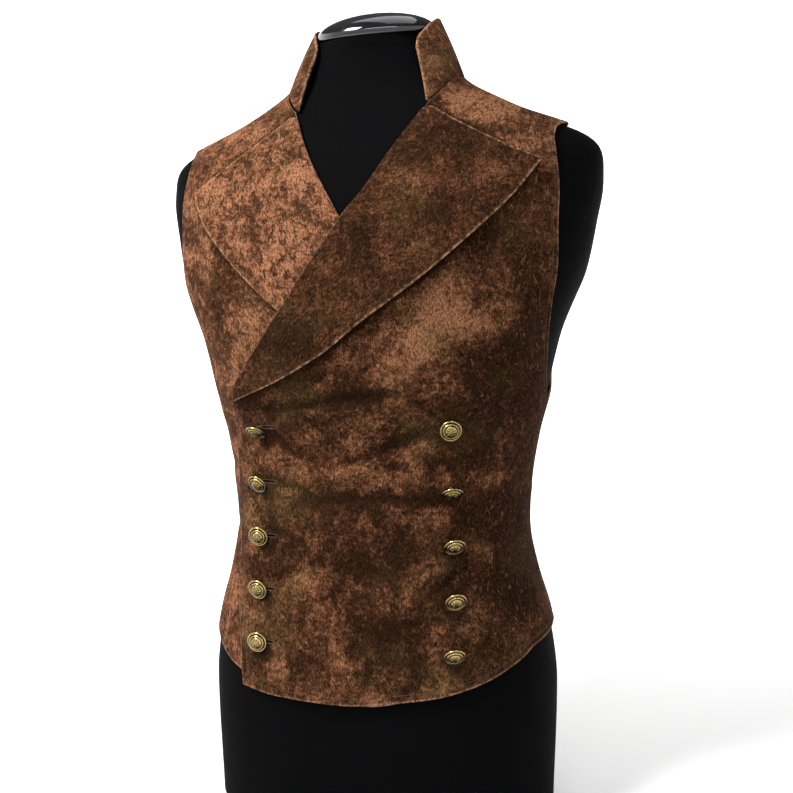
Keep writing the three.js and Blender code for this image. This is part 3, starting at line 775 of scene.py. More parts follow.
def coons(hem: Border, side: Border, inner: Border, top: Border) -> Place:
    """Fills in a four-sided patch in angle and height.

    Args:
        hem: Its lower border.
        side: Its border at the start of each row.
        inner: Its border at the end of each row.
        top: Its upper border.

    Returns:
        The patch.
    """
    zero, one = np.array(0.0), np.array(1.0)

    def place(u: Array, v: Array) -> Array:
        """The angle and height at shares u across and v up."""
        corners = mix(mix(side(zero), inner(zero), u), mix(side(one), inner(one), u), v)
        return mix(side(v), inner(v), u) + mix(hem(u), top(u), v) - corners

    return place


NECK_SHARE = 0.42
BACK_SHOULDER_SHARE = 0.17
MIRRORED = np.array([-1.0, 1.0])
PAST_THE_BACK = np.array([-180.0, 0.0])


def front_patch(hem_curve: dict[str, Curve], edge_curve: dict[str, Curve]) -> Place:
    """Lays out a front, from its side seam and armhole to its front edge and fold line.

    Args:
        hem_curve: Its hem, by angle.
        edge_curve: Its front edge and fold line, by share of the way up.

    Returns:
        The patch.
    """

    def inner(v: Array) -> Array:
        """The front edge, then the fold line."""
        z = edge_curve["z"](v)
        return pair(SURFACE.front_angle(edge_curve["x"](v), z), z)

    def side(v: Array) -> Array:
        """The side seam, the armhole and the shoulder's end."""
        return pair(FRONT_SIDE["angle"](v) + SEAM_HALF_TURN, FRONT_SIDE["z"](v))

    start, end = side(np.array(0.0)), inner(np.array(0.0))
    start_error = start[1] - hem_curve["z"](start[0])
    end_error = end[1] - hem_curve["z"](end[0])

    def hem(u: Array) -> Array:
        """The lower edge, led into both its ends."""
        angle = start[0] + (end[0] - start[0]) * u
        return pair(angle, hem_curve["z"](angle) + start_error * (1 - u) + end_error * u)

    shoulder, neck_end = side(np.array(1.0)), inner(np.array(1.0))
    neck_z = NECK_SEAM["z"](np.array(SEAM_ANGLE))
    neck_error = neck_end[1] - NECK_SEAM["z"](neck_end[0])

    def top(u: Array) -> Array:
        """The shoulder seam, then the neck seam."""
        climb = pair(shoulder[0] + 0 * u, shoulder[1] + (neck_z - shoulder[1]) * (u / NECK_SHARE))
        s = np.clip((u - NECK_SHARE) / (1 - NECK_SHARE), 0.0, 1.0)
        angle = shoulder[0] + (neck_end[0] - shoulder[0]) * s
        neck = pair(angle, NECK_SEAM["z"](angle) + s**2 * neck_error)
        return np.where((u < NECK_SHARE)[..., None], climb, neck)

    return coons(hem, side, inner, top)


def back_patch() -> Place:
    """Lays out the back, from the left side seam and armhole to the right.

    Returns:
        The patch.
    """

    def edge(v: Array) -> Array:
        """The left border."""
        return pair(BACK_SIDE["angle"](v) - SEAM_HALF_TURN, BACK_SIDE["z"](v))

    def far_edge(v: Array) -> Array:
        """The right border, mirrored."""
        return edge(v) * MIRRORED + PAST_THE_BACK

    low, high = edge(np.array(0.0)), edge(np.array(1.0))
    neck_z = NECK_SEAM["z"](np.array(SEAM_ANGLE))

    def hem(u: Array) -> Array:
        """The lower edge."""
        angle = low[0] + (-180.0 - 2 * low[0]) * u
        return pair(angle, BACK_HEM["z"](np.where(angle < -90, -180 - angle, angle)))

    def top(u: Array) -> Array:
        """The shoulder seams and the neck seam between them."""
        near = np.minimum(u, 1 - u)
        climb = pair(high[0] + 0 * u, high[1] + (neck_z - high[1]) * near / BACK_SHOULDER_SHARE)
        s = (near - BACK_SHOULDER_SHARE) / (0.5 - BACK_SHOULDER_SHARE)
        angle = high[0] + (-90 - high[0]) * s
        found = np.where((near < BACK_SHOULDER_SHARE)[..., None], climb, pair(angle, NECK_SEAM["z"](angle)))
        mirrored = found * MIRRORED + PAST_THE_BACK
        return np.where((u <= 0.5)[..., None], found, mirrored)

    return coons(hem, edge, far_edge, top)


# ---------------- the vest's pieces
SEAM_INSET = 7.0
HEM_INSET = 6.0
STITCH_FADE = 0.01


def groove(distance: Array, at: float, depth: float = 0.55, width: float = 1.1) -> Array:
    """How far a row of stitches pulls the cloth in, at distances from an edge."""
    return -depth * np.exp(-(((distance - at) / width) ** 2))


def stitched_share(v: Array, start: float) -> Array:
    """Where an armhole's row of stitches runs: 0 below its start and 1 above."""
    return smoothstep(start - STITCH_FADE, start + STITCH_FADE, v)


def nearest_line(distances: Array, wanted: float) -> int:
    """The number of the row or column that lies nearest to a wanted distance."""
    return int(np.argmin(np.abs(distances - wanted)))


def edge_wear_and_highlight(distance: Array, reach: float = 0.9) -> Array:
    """How much scuffing and painted highlight the cloth has near an edge, from 0 to 1."""
    return np.exp(-((distance / reach) ** 2))


@dataclass
class Panel:
    """A front or the back: a shell on the body, drawn in where it is stitched."""

    name: str
    node: str
    place: Place
    lift: Callable[[Array, Array], Array]
    across: Spacing
    up: Spacing
    side: Side = Side.LEFT
    flat: tuple[float, float] = (0.0, 0.0)
    area: float = 0.0
    folds: Sequence[Fold] = ()
    lapel: dict[str, Curve] | None = None
    patches: Sequence[Patch] = FRONT_PATCHES
    flake_low: float = 0.9
    flake_high: float = 0.9
    grid: Grid = field(init=False)
    shell: Shell = field(init=False)

    FLAKE_X = (92.0, 128.0)
    INNER_RELIEF = 0.6
    CREASE_SHADE_WEIGHT = 1.15
    LAPEL_SHADOW_WEIGHT = 1.5

    def __post_init__(self) -> None:
        """Lays out the rows and columns."""
        def bare(u: Array, v: Array) -> Array:
            """The patch on the body itself."""
            angle, z = np.moveaxis(self.place(u, v), -1, 0)
            return SURFACE.point(angle, z)

        self.grid = even_grid(bare, self.across, self.up)

    def relief(self, x: Array, z: Array) -> Array:
        """What the sewing does to the panel's face; a plain panel has none."""
        return np.zeros_like(x + z)

    def shade(self, x: Array, z: Array) -> Array:
        """Works out the tone: its patches, painted shade in the folds and a painted shadow along the lapel's
        outline.

        Args:
            x: Places across the body.
            z: Places up it.

        Returns:
            The tone there, 0 where it is plain.
        """
        own_x = self.side.value * x
        tone = toned(self.patches, x, z) - self.CREASE_SHADE_WEIGHT * painted_crease_shade(self.folds, own_x, z)
        if self.lapel is not None:
            tone = tone - self.LAPEL_SHADOW_WEIGHT * painted_lapel_shadow(lapel_outline(self.lapel), own_x, z)
        return tone

    def build(self, material: Material) -> bpy.types.Object:
        """Makes the panel.

        Args:
            material: Its suede.

        Returns:
            The panel's piece.
        """
        angle, z = np.moveaxis(self.place(self.grid.u, self.grid.v), -1, 0)
        relief = self.relief(SURFACE.point(angle, z)[..., 0], z)
        inner = self.lift(angle, z) + self.INNER_RELIEF * relief
        outer = SURFACE.off(angle, z, inner + (1 - self.INNER_RELIEF) * relief + CLOTH, self.side)
        x = outer[..., 0]
        flake = self.flake_low + (self.flake_high - self.flake_low) * smoothstep(*self.FLAKE_X, x)
        # The pale edges are scuffing and a painted highlight; the tone holds painted shade and shadows.
        self.shell = Shell(
            inner=SURFACE.off(angle, z, inner, self.side),
            outer=outer,
            flat=np.stack([self.grid.start, self.grid.low], axis=-1),
            paint={"wear_and_highlight": edge_wear_and_highlight(self.grid.nearest()), "tone": self.shade(x, z), "flake": flake},
        )
        return self.shell.build(self.name, material)


class Front(Panel):
    """A front: stitched round its armhole, along its hem and down its front edge."""

    ARMHOLE_FROM = 0.53
    EDGE_TO = 0.5
    DART_X = 113.0
    DART_TOP = 372.0
    DART_FADE = 40.0
    DART_DEPTH = 0.8
    DART_WIDTH = 2.4

    def relief(self, x: Array, z: Array) -> Array:
        """The rows of stitches near the edges, and the long dart from the hem to the waist.

        Args:
            x: Places across the body, mirrored for the wearer's right.
            z: Places up it.

        Returns:
            How far the face goes out; less than 0 is in.
        """
        grid = self.grid
        dart = groove(x, self.DART_X, self.DART_DEPTH, self.DART_WIDTH)
        dart = dart * smoothstep(self.DART_TOP, self.DART_TOP - self.DART_FADE, z)
        armhole = stitched_share(grid.v, self.ARMHOLE_FROM)
        edge = smoothstep(self.EDGE_TO + STITCH_FADE, self.EDGE_TO - STITCH_FADE, grid.v)
        return (
            groove(grid.start, SEAM_INSET) * armhole
            + groove(grid.low, HEM_INSET)
            + groove(grid.end, SEAM_INSET) * edge
            + dart
        )

    def stitch_paths(self) -> list[Array]:
        """Finds the lines of stitches.

        Returns:
            The armhole's, the front edge's and the hem's, as rows of points on the outer face.
        """
        outer, grid = self.shell.outer, self.grid
        middle = grid.v.shape[0] // 2
        column = nearest_line(grid.start[middle], SEAM_INSET)
        far = nearest_line(grid.end[middle], SEAM_INSET)
        row = nearest_line(grid.low[:, grid.u.shape[1] // 2], HEM_INSET)
        armhole = outer[grid.v[:, column] > self.ARMHOLE_FROM, column]
        edge = outer[(grid.v[:, far] < self.EDGE_TO) & (grid.low[:, far] > HEM_INSET), far]
        return [armhole, edge, outer[row, : far + 1]]


class Back(Panel):
    """The back: stitched round both armholes and along its hem."""

    ARMHOLE_FROM = 0.51

    def relief(self, x: Array, z: Array) -> Array:
        """The rows of stitches near the edges.

        Args:
            x: Places across the body.
            z: Places up it.

        Returns:
            How far the face goes out; less than 0 is in.
        """
        grid = self.grid
        armhole = stitched_share(grid.v, self.ARMHOLE_FROM)
        sides = groove(grid.start, SEAM_INSET) + groove(grid.end, SEAM_INSET)
        return sides * armhole + groove(grid.low, HEM_INSET)

    def stitch_paths(self) -> list[Array]:
        """Finds the lines of stitches.

        Returns:
            The two armholes' and the hem's, as rows of points on the outer face.
        """
        outer, grid = self.shell.outer, self.grid
        middle = grid.v.shape[0] // 2
        columns = [nearest_line(part[middle], SEAM_INSET) for part in (grid.start, grid.end)]
        row = nearest_line(grid.low[:, grid.u.shape[1] // 2], HEM_INSET)
        armholes = [outer[grid.v[:, column] > self.ARMHOLE_FROM, column] for column in columns]
        return [*armholes, outer[row]]


def near_corner(distance: Array, reach: float) -> Array:
    """How far into a rounded corner a place is: 1 at its edge and 0 beyond its reach."""
    return np.clip((reach - distance) / reach, 0.0, 1.0) ** 2


@dataclass
class Lapel:
    """A lapel: it rolls over at the fold line and lies on its own front, its edge a little proud."""

    name: str
    node: str
    table: dict[str, Curve]
    lift: Callable[[Array, Array], Array]
    side: Side
    proud: float
    proud_from: float
    proud_full: float
    tone: float
    flake: float
    flat: tuple[float, float]
    area: float
    across: Spacing = Spacing(between=46, margin=6.0)
    up: Spacing = Spacing(between=110, margin=6.0)
    roll_columns: int = 12
    tip_sag: float = 4.0
    sag_start: float = 0.85
    patches: Sequence[Patch] = LAPEL_PATCHES
    corner: float = 6.0
    corner_reach: float = 9.0
    roll_wear_and_highlight_turn: float = 1.25
    roll_wear_and_highlight_width: float = 0.6
    shell: Shell = field(init=False)

    ALONG_COLUMN = 4

    def place(self, u: Array, v: Array) -> Array:
        """Places the lapel on its front.

        Args:
            u: Shares of the way from the fold to the free edge.
            v: Shares of the way up from the closing.

        Returns:
            Angles and heights, along a last axis.
        """
        fold_x, fold_z = self.table["fold_x"](v), self.table["fold_z"](v)
        sag = self.tip_sag * np.sin(np.pi * u) * smoothstep(self.sag_start, 1.0, v)
        x = fold_x + (self.table["edge_x"](v) - fold_x) * u
        z = fold_z + (self.table["edge_z"](v) - fold_z) * u - sag
        return pair(SURFACE.front_angle(x, z), z)

    def bare(self, u: Array, v: Array) -> Array:
        """The lapel's patch on the body itself."""
        angle, z = np.moveaxis(self.place(u, v), -1, 0)
        return SURFACE.point(angle, z)

    def rolled(self, angle: Array, z: Array, turns: Array) -> list[Array]:
        """Rolls the cloth over at the fold line.

        Args:
            angle: The angles of the lapel's rows and columns.
            z: Their heights.
            turns: How far each column of the roll has turned, in radians.

        Returns:
            The points of its inner face, and of its outer face.
        """
        base = SURFACE.point(angle[:, 0], z[:, 0])
        normal = SURFACE.normal(angle[:, 0], z[:, 0])
        along = base - SURFACE.point(angle[:, self.ALONG_COLUMN], z[:, self.ALONG_COLUMN])
        along -= normal * (along * normal).sum(axis=-1, keepdims=True)
        along /= np.linalg.norm(along, axis=-1, keepdims=True)
        centre = base + normal * (self.lift(angle[:, 0], z[:, 0]) + CLOTH + LAPEL_GAP / 2)[:, None]
        faces = []
        for radius in (LAPEL_GAP / 2, LAPEL_GAP / 2 + CLOTH):
            ring = [centre + radius * (math.cos(t) * normal + math.sin(t) * along) for t in turns]
            faces.append(np.stack(ring, axis=1))
        return faces

    def build(self, material: Material) -> bpy.types.Object:
        """Makes the lapel with its roll.

        Args:
            material: Its suede.

        Returns:
            The lapel's piece.
        """
        grid = even_grid(self.bare, self.across, self.up)
        length = float(grid.low[-1, 0])
        v = grid.v * (1 - self.corner / length * near_corner(grid.start, self.corner_reach))
        angle, z = np.moveaxis(self.place(grid.u, v), -1, 0)
        free = self.proud * grid.u**2 * smoothstep(self.proud_from, self.proud_full, v)
        under = self.lift(angle, z) + CLOTH + LAPEL_GAP + free
        mirror = np.array([self.side.value, 1.0, 1.0])
        inner = SURFACE.off(angle, z, under)
        outer = SURFACE.off(angle, z, under + CLOTH)
        turns = np.linspace(math.pi, 0.0, self.roll_columns + 1)[:-1]
        roll_inner, roll_outer = self.rolled(angle, z, turns)
        roll_run, roll_rise = np.meshgrid(-(CLOTH + LAPEL_GAP / 2) * turns, grid.low[:, 0])
        roll_flat = np.stack([roll_run, roll_rise], axis=-1)
        flat = np.stack([grid.start, grid.low], axis=-1)
        # A pale line along the roll's crest: scuffing and a painted highlight.
        rubbed_and_highlit = np.exp(-(((turns - self.roll_wear_and_highlight_turn) / self.roll_wear_and_highlight_width) ** 2))
        roll_wear_and_highlight = rubbed_and_highlit[None, :] * np.ones((len(z), 1))
        wear_and_highlight = np.concatenate([roll_wear_and_highlight, edge_wear_and_highlight(np.minimum(grid.end, grid.high))], axis=1)
        tone = self.tone + toned(self.patches, outer[..., 0], z)
        tone = np.concatenate([tone[:, :1] + 0 * roll_wear_and_highlight, tone], axis=1)
        self.shell = Shell(
            inner=np.concatenate([roll_inner, inner], axis=1) * mirror,
            outer=np.concatenate([roll_outer, outer], axis=1) * mirror,
            flat=np.concatenate([roll_flat, flat], axis=1),
            paint={"wear_and_highlight": wear_and_highlight, "tone": tone, "flake": 0 * wear_and_highlight + self.flake},
        )
        return self.shell.build(self.name, material)


@dataclass
class Collar:
    """The stand collar: it rises from the neck seam and leans in to its top edge."""

    name: str = "collar_stand"
    node: str = "collar"
    end_angle: float = 41.0
    top_half: float = 68.0
    top_front: float = 72.0
    top_back: float = 62.0
    top_centre_y: float = -4.0
    top_turn: float = 0.91
    corner: float = 7.0
    corner_reach: float = 8.0
    bow: float = 1.2
    sway: float = 0.7
    sway_turns: float = 9.0
    sway_start: float = 1.0
    wear_reach: float = 1.6
    tone: float = 0.1
    flake: float = 0.8
    flat: tuple[float, float] = (0.45, 0.07)
    area: float = 0.024
    across: Spacing = Spacing(between=170, margin=10.0)
    up: Spacing = Spacing(between=22, margin=6.0)
    shell: Shell = field(init=False)

    def point(self, u: Array, v: Array, face: float) -> Array:
        """Places the collar: it follows the neck seam and an oval top edge.

        Args:
            u: Shares round the neck, from 1 at the left end to -1 at the right.
            v: Shares of the way up.
            face: 0 for the inner face and 1 for the outer.

        Returns:
            The points, along a last axis.
        """
        side = np.where(u < 0, -1.0, 1.0)
        angle = -90.0 + np.abs(u) * (self.end_angle + 90.0)
        seam_z = NECK_SEAM["z"](angle) + COLLAR_SEAM_GAP
        seam = SURFACE.off(angle, seam_z, SEAT_GAP + face * COLLAR_CLOTH + 0 * angle)
        turned = np.radians(np.where(angle > 0, angle * self.top_turn, angle))
        depth = np.where(turned > 0, self.top_front, self.top_back)
        inset = (face - 1) * COLLAR_CLOTH
        top = np.stack([
            (self.top_half + inset) * np.cos(turned),
            self.top_centre_y - (depth + inset) * np.sin(turned),
            COLLAR_TOP["z"](angle),
        ], axis=-1)
        point = seam + (top - seam) * v[..., None]
        centre = np.array([0.0, self.top_centre_y, 0.0])
        out = (point - centre) * np.array([1.0, 1.0, 0.0])
        out /= np.linalg.norm(out, axis=-1, keepdims=True)
        sway = self.sway * np.sin(self.sway_turns * u + self.sway_start) * v + self.bow * np.sin(np.pi * v)
        return (point + out * sway[..., None]) * np.stack([side, side * side, side * side], axis=-1)

    def build(self, material: Material) -> bpy.types.Object:
        """Makes the collar.

        Args:
            material: Its suede.

        Returns:
            The collar's piece.
        """
        def bare(u: Array, v: Array) -> Array:
            """The collar's outer face, from its left end to its right end."""
            return self.point(1 - 2 * u, v, 1.0)

        grid = even_grid(bare, self.across, self.up)
        height = float(grid.low[-1, grid.u.shape[1] // 2])
        near_end = np.minimum(grid.start, grid.end)
        v = grid.v * (1 - self.corner / height * near_corner(near_end, self.corner_reach))
        self.shell = Shell(
            inner=self.point(1 - 2 * grid.u, v, 0.0),
            outer=self.point(1 - 2 * grid.u, v, 1.0),
            flat=np.stack([grid.start, grid.low], axis=-1),
            paint={
                "wear_and_highlight": edge_wear_and_highlight(np.minimum(near_end, grid.high), self.wear_reach),
                "tone": 0 * v + self.tone,
                "flake": 0 * v + self.flake,
            },
        )
        return self.shell.build(self.name, material)


# ---------------- the dress form
@dataclass
class DressForm:
    """The limbless form: a jersey-covered body with a flat foot, and a glossy cap on its neck."""

    inset: float = 0.8
    foot_round: float = 4.0
    foot_rows: int = 5
    sides: int = 180
    row_height: float = 5.0
    cap_half_width: float = 65.0
    cap_half_depth: float = 58.0
    cap_dome: float = 22.0
    cap_rim: float = 3.0
    cap_gap: float = 0.3
    cap_foot: tuple[tuple[float, float], ...] = ((0.955, 0.0), (0.985, 0.35), (1.0, 1.1))
    cap_rows: int = 22
    cap_sides: int = 128

    def build_body(self, material: Material) -> bpy.types.Object:
        """Makes the body, closed by its foot and the top of its neck.

        Args:
            material: Its jersey.

        Returns:
            The body's piece.
        """
        edge = self.foot_round * (1 - np.cos(np.linspace(0, math.pi / 2, self.foot_rows)))
        rise = np.arange(self.foot_round, NECK_TOP_Z, self.row_height)
        heights = np.concatenate([edge[:-1], rise, [NECK_TOP_Z]])
        angles = np.linspace(0, 360, self.sides, endpoint=False)
        z, angle = np.meshgrid(heights, angles, indexing="ij")
        round_off = self.foot_round - np.sqrt(
            np.maximum(self.foot_round**2 - np.maximum(self.foot_round - z, 0) ** 2, 0)
        )
        wrapped = np.where(angle > 180, angle - 360, angle)
        points = SURFACE.off(wrapped, z, -self.inset - round_off)
        points[0, :, 2] = 0.0
        points[1:, :, 2] = np.maximum(points[1:, :, 2], 0.0)
        ends = np.array([(0.0, 0.0, 0.0), (0.0, NECK_CENTRE_Y, NECK_TOP_Z)])
        everything = np.concatenate([points.reshape(-1, 3), ends])
        return mesh_object("form_torso", everything, turned_faces(len(heights), self.sides), material)

    def build_cap(self, material: Material) -> bpy.types.Object:
        """Makes the low dome with its rounded rim, tipped as the neck is.

        Args:
            material: Its gloss.

        Returns:
            The cap's piece.
        """
        profile = [(0.0, 0.0), *self.cap_foot, (1.0, self.cap_rim)]
        for t in np.linspace(0, math.pi / 2, self.cap_rows)[1:-1]:
            profile.append((math.cos(t), self.cap_rim + self.cap_dome * math.sin(t)))
        profile.append((0.0, self.cap_rim + self.cap_dome))
        size = Matrix.Diagonal((self.cap_half_width, self.cap_half_depth, 1.0, 1.0))
        tip = Matrix.Rotation(math.atan(NECK_TILT), 4, "X")
        seat = Matrix.Translation((0.0, NECK_CENTRE_Y, NECK_TOP_Z + self.cap_gap))
        return lathe("form_cap", profile, self.cap_sides, seat @ tip @ size, material)


def turned_faces(rows: int, sides: int) -> list[list[int]]:
    """Joins rings of vertices, and closes their ends on two last vertices.

    Args:
        rows: How many rings there are, from the lowest.
        sides: How many vertices each has.

    Returns:
        The faces, as rows of vertex numbers.
    """
    index = np.arange(rows * sides).reshape(rows, sides)
    right = np.roll(index, -1, axis=1)
    quads = np.stack([index[:-1], right[:-1], right[1:], index[1:]], axis=-1).reshape(-1, 4).tolist()
    foot, top = rows * sides, rows * sides + 1
    low = [[foot, b, a] for a, b in zip(index[0].tolist(), right[0].tolist())]
    high = [[top, a, b] for a, b in zip(index[-1].tolist(), right[-1].tolist())]
    return quads + low + high


def lathe(
    name: str,
    profile: Sequence[tuple[float, float]],
    sides: int,
    matrix: Matrix,
    material: Material,
    carve: Callable[[Array, Array], Array] | None = None,
) -> bpy.types.Object:
    """Turns a profile round its own +Z axis and puts it in place.

    Args:
        name: The object's name.
        profile: Radii and heights, from the axis at the bottom to the axis at the top.
        sides: How many faces go round.
        matrix: Where the turned shape goes, in millimetres.
        material: Its finish.
        carve: Extra height from the radius and the angle in radians, for a worked face.

    Returns:
        The turned object.
    """
    turn = np.linspace(0, 2 * math.pi, sides, endpoint=False)
    radius = np.array([r for r, _ in profile[1:-1]])[:, None]
    height = np.array([h for _, h in profile[1:-1]])[:, None] + np.zeros((1, sides))
    if carve is not None:
        height = height + carve(radius + 0 * turn, turn + 0 * radius)
    rings = np.stack([radius * np.cos(turn), radius * np.sin(turn), height], axis=-1)
    ends = np.array([(0.0, 0.0, profile[0][1]), (0.0, 0.0, profile[-1][1])])
    points = np.concatenate([rings.reshape(-1, 3), ends])
    placed = points @ np.array(matrix.to_3x3()).T + np.array(matrix.translation)
    return mesh_object(name, placed, turned_faces(len(profile) - 2, sides), material)


# ---------------- buttons
@dataclass(frozen=True)
class ButtonPlace:
    """Where a button stands, its droop in degrees down and to the wearer's left, and its stand-off."""

    x: float
    z: float
    down: float
    leftwards: float
    out: float

    SHADOW_AWAY = (4.0, -9.0)
    SHADOW_SIZE = (9.0, 7.5)
    SHADOW_TONE = -2.6

    def seat(self) -> Matrix:
        """Finds the button's place on the cloth.

        Returns:
            The frame on the cloth's outer face, with +Z out and +X level.
        """
        z = np.array(self.z)
        angle = SURFACE.front_angle(np.array(self.x), z)
        point = SURFACE.off(angle, z, left_lift(angle, z) + CLOTH)
        normal = Vector(SURFACE.normal(angle, z).tolist())
        across = Vector((0, 0, 1)).cross(normal).normalized()
        turn = Matrix((across, normal.cross(across), normal)).transposed().to_4x4()
        return Matrix.Translation(Vector(point.tolist())) @ turn

    def painted_shadow(self) -> Patch:
        """A painted shadow on the cloth below the head."""
        across, up = self.SHADOW_AWAY
        return Patch(self.x + across, self.z + up, *self.SHADOW_SIZE, self.SHADOW_TONE)

    def head(self) -> Matrix:
        """Finds the head's place, drooping from its seat.

        Returns:
            The head's frame.
        """
        leftwards = Matrix.Rotation(math.radians(self.leftwards), 4, "Y")
        down = Matrix.Rotation(math.radians(self.down), 4, "X")
        return self.seat() @ Matrix.Translation((0, 0, self.out)) @ leftwards @ down


SEWN_BUTTONS = tuple(ButtonPlace(*row) for row in (
    (97, 405, 4, 0, 1.4), (95, 345, 52, 0, 6), (96, 291, 44, 2, 4.8), (99, 237, 44, 6, 4.8),
    (101, 188, 47, 2, 5.2),
))
FASTENED_BUTTONS = tuple(ButtonPlace(*row) for row in (
    (-90, 406, 45, 2, 4.8), (-95, 348, 30, 8, 1.8), (-95, 292, 20, 22, 1.8), (-93, 238, 28, 12, 1.8),
    (-94, 187, 18, 18, 1.4),
))


@dataclass(frozen=True)
class Buttonhole:
    """A slit through the left front, from under a button's shank towards the centre front."""

    button: ButtonPlace
    length: float = 19.0
    width: float = 1.6
    shift: float = 7.8
    deep: float = 14.0
    lip: float = 0.75

    SQUARENESS = 0.4
    LIP_POINTS = 49

    def corners(self) -> Array:
        """Places the box that cuts the slit.

        Returns:
            Its eight corners.
        """
        half = np.array([self.length, self.width, self.deep]) / 2
        signs = np.array([(a, b, c) for a in (-1, 1) for b in (-1, 1) for c in (-1, 1)])
        seat = np.array(self.button.seat())
        return (signs * half + np.array([self.shift, 0, 0])) @ seat[:3, :3].T + seat[:3, 3]

    def lip_path(self) -> Array:
        """Follows the slit's lip, where its stitches go.

        Returns:
            The points of the line, on the cloth's outer face.
        """
        turn = np.linspace(0, 2 * math.pi, self.LIP_POINTS)
        across = np.sign(np.cos(turn)) * np.abs(np.cos(turn)) ** self.SQUARENESS
        up = np.sign(np.sin(turn)) * np.abs(np.sin(turn)) ** self.SQUARENESS
        x = self.button.x + self.shift + (self.length / 2 + self.lip) * across
        z = self.button.z + (self.width / 2 + self.lip) * up
        angle = SURFACE.front_angle(x, z)
        return SURFACE.off(angle, z, left_lift(angle, z) + CLOTH)


def cut_buttonholes(piece: bpy.types.Object, holes: Sequence[Buttonhole]) -> None:
    """Cuts the slits through a piece, leaving it a plain mesh with its paint.

    Args:
        piece: The front that the slits go through.
        holes: The slits.
    """
    corners = 8
    faces = [(0, 1, 3, 2), (4, 6, 7, 5), (0, 4, 5, 1), (2, 3, 7, 6), (0, 2, 6, 4), (1, 5, 7, 3)]
    box_faces = [[corners * i + corner for corner in face] for i in range(len(holes)) for face in faces]
    points = np.concatenate([hole.corners() for hole in holes])
    cutter = mesh_object("buttonhole_cutter", points, box_faces, piece.data.materials[0])
    cutter.data.shade_flat()
    modifier = piece.modifiers.new("buttonholes", "BOOLEAN")
    modifier.object = cutter
    modifier.operation = "DIFFERENCE"
    modifier.solver = "EXACT"
    bpy.context.view_layer.update()
    graph = bpy.context.evaluated_depsgraph_get()
    cut = piece.evaluated_get(graph)
    done = bpy.data.meshes.new_from_object(cut, preserve_all_data_layers=True, depsgraph=graph)
    piece.modifiers.clear()
    piece.data = done
    bpy.data.objects.remove(cutter)


@dataclass
class Buttons:
    """Ten domed brass buttons with a stepped, roped face and a rosette, on short stalks of thread."""

    sides: int = 96
    rope_radius: float = 7.2
    rope_width: float = 0.6
    rope_height: float = 0.12
    rope_strands: int = 32
    rope_slant: float = 2.2
    petal_radius: float = 3.6
    petal_width: float = 1.2
    petal_height: float = 0.28
    petals: int = 8
    stalk_radius: float = 1.2
    stalk_waist: float = 1.4
    stalk_sides: int = 16

    # The shank from its foot, the back plate, the outer ring, the raised inner ring and the crown.
    PROFILE = (
        (0.0, -0.6), (1.0, -0.5), (1.5, 0.0), (1.5, 3.4), (5.0, 3.5), (8.8, 3.7), (9.9, 4.0),
        (10.45, 4.5), (10.6, 5.1), (10.5, 5.6), (10.1, 6.0), (9.5, 6.15), (8.9, 6.0), (8.55, 5.6),
        (8.35, 5.5), (8.15, 5.7), (7.95, 6.5), (7.6, 7.1), (7.1, 7.35), (6.6, 7.3), (6.25, 7.0),
        (6.0, 6.9), (5.8, 7.1), (5.4, 7.6), (4.8, 8.05), (4.1, 8.45), (3.3, 8.8), (2.5, 9.05),
        (1.6, 9.2), (0.8, 9.28), (0.0, 9.3),
    )

    def carve(self, radius: Array, turn: Array) -> Array:
        """Works the rope on the inner ring and the petals of the rosette.

        Args:
            radius: Distances from the button's middle.
            turn: Angles round it in radians.

        Returns:
            The extra height there.
        """
        on_rope = np.exp(-(((radius - self.rope_radius) / self.rope_width) ** 2))
        rope = on_rope * np.cos(self.rope_strands * turn + self.rope_slant * (radius - self.rope_radius))
        on_petals = np.exp(-(((radius - self.petal_radius) / self.petal_width) ** 2))
        return self.rope_height * rope + self.petal_height * on_petals * np.cos(self.petals * turn)

    def stalk(self, out: float) -> list[tuple[float, float]]:
        """The profile of the thread between the cloth and a head that stands out this far."""
        r, waist = self.stalk_radius, self.stalk_waist * self.stalk_radius
        return [(0.0, -1.5), (r, -1.5), (waist, -0.2), (r, 0.5), (r, out), (0.0, out + 0.4)]

    def build_column(
        self, stem: str, places: Sequence[ButtonPlace], brass: Material, thread: Material
    ) -> None:
        """Makes one column of buttons.

        Args:
            stem: What the column's solids are called, before their number.
            places: The buttons' places, from the top.
            brass: The heads' finish.
            thread: The stalks' finish.
        """
        for row, place in enumerate(places, start=1):
            head = lathe(f"brass_{stem}_{row}", self.PROFILE, self.sides, place.head(), brass, self.carve)
            dress(head, "button_brass", f"{stem}_{row}")
            profile = self.stalk(place.out)
            dress(lathe(f"thread_{stem}_{row}", profile, self.stalk_sides, place.seat(), thread), "suede")


# ---------------- node trees
Socket = bpy.types.NodeSocket


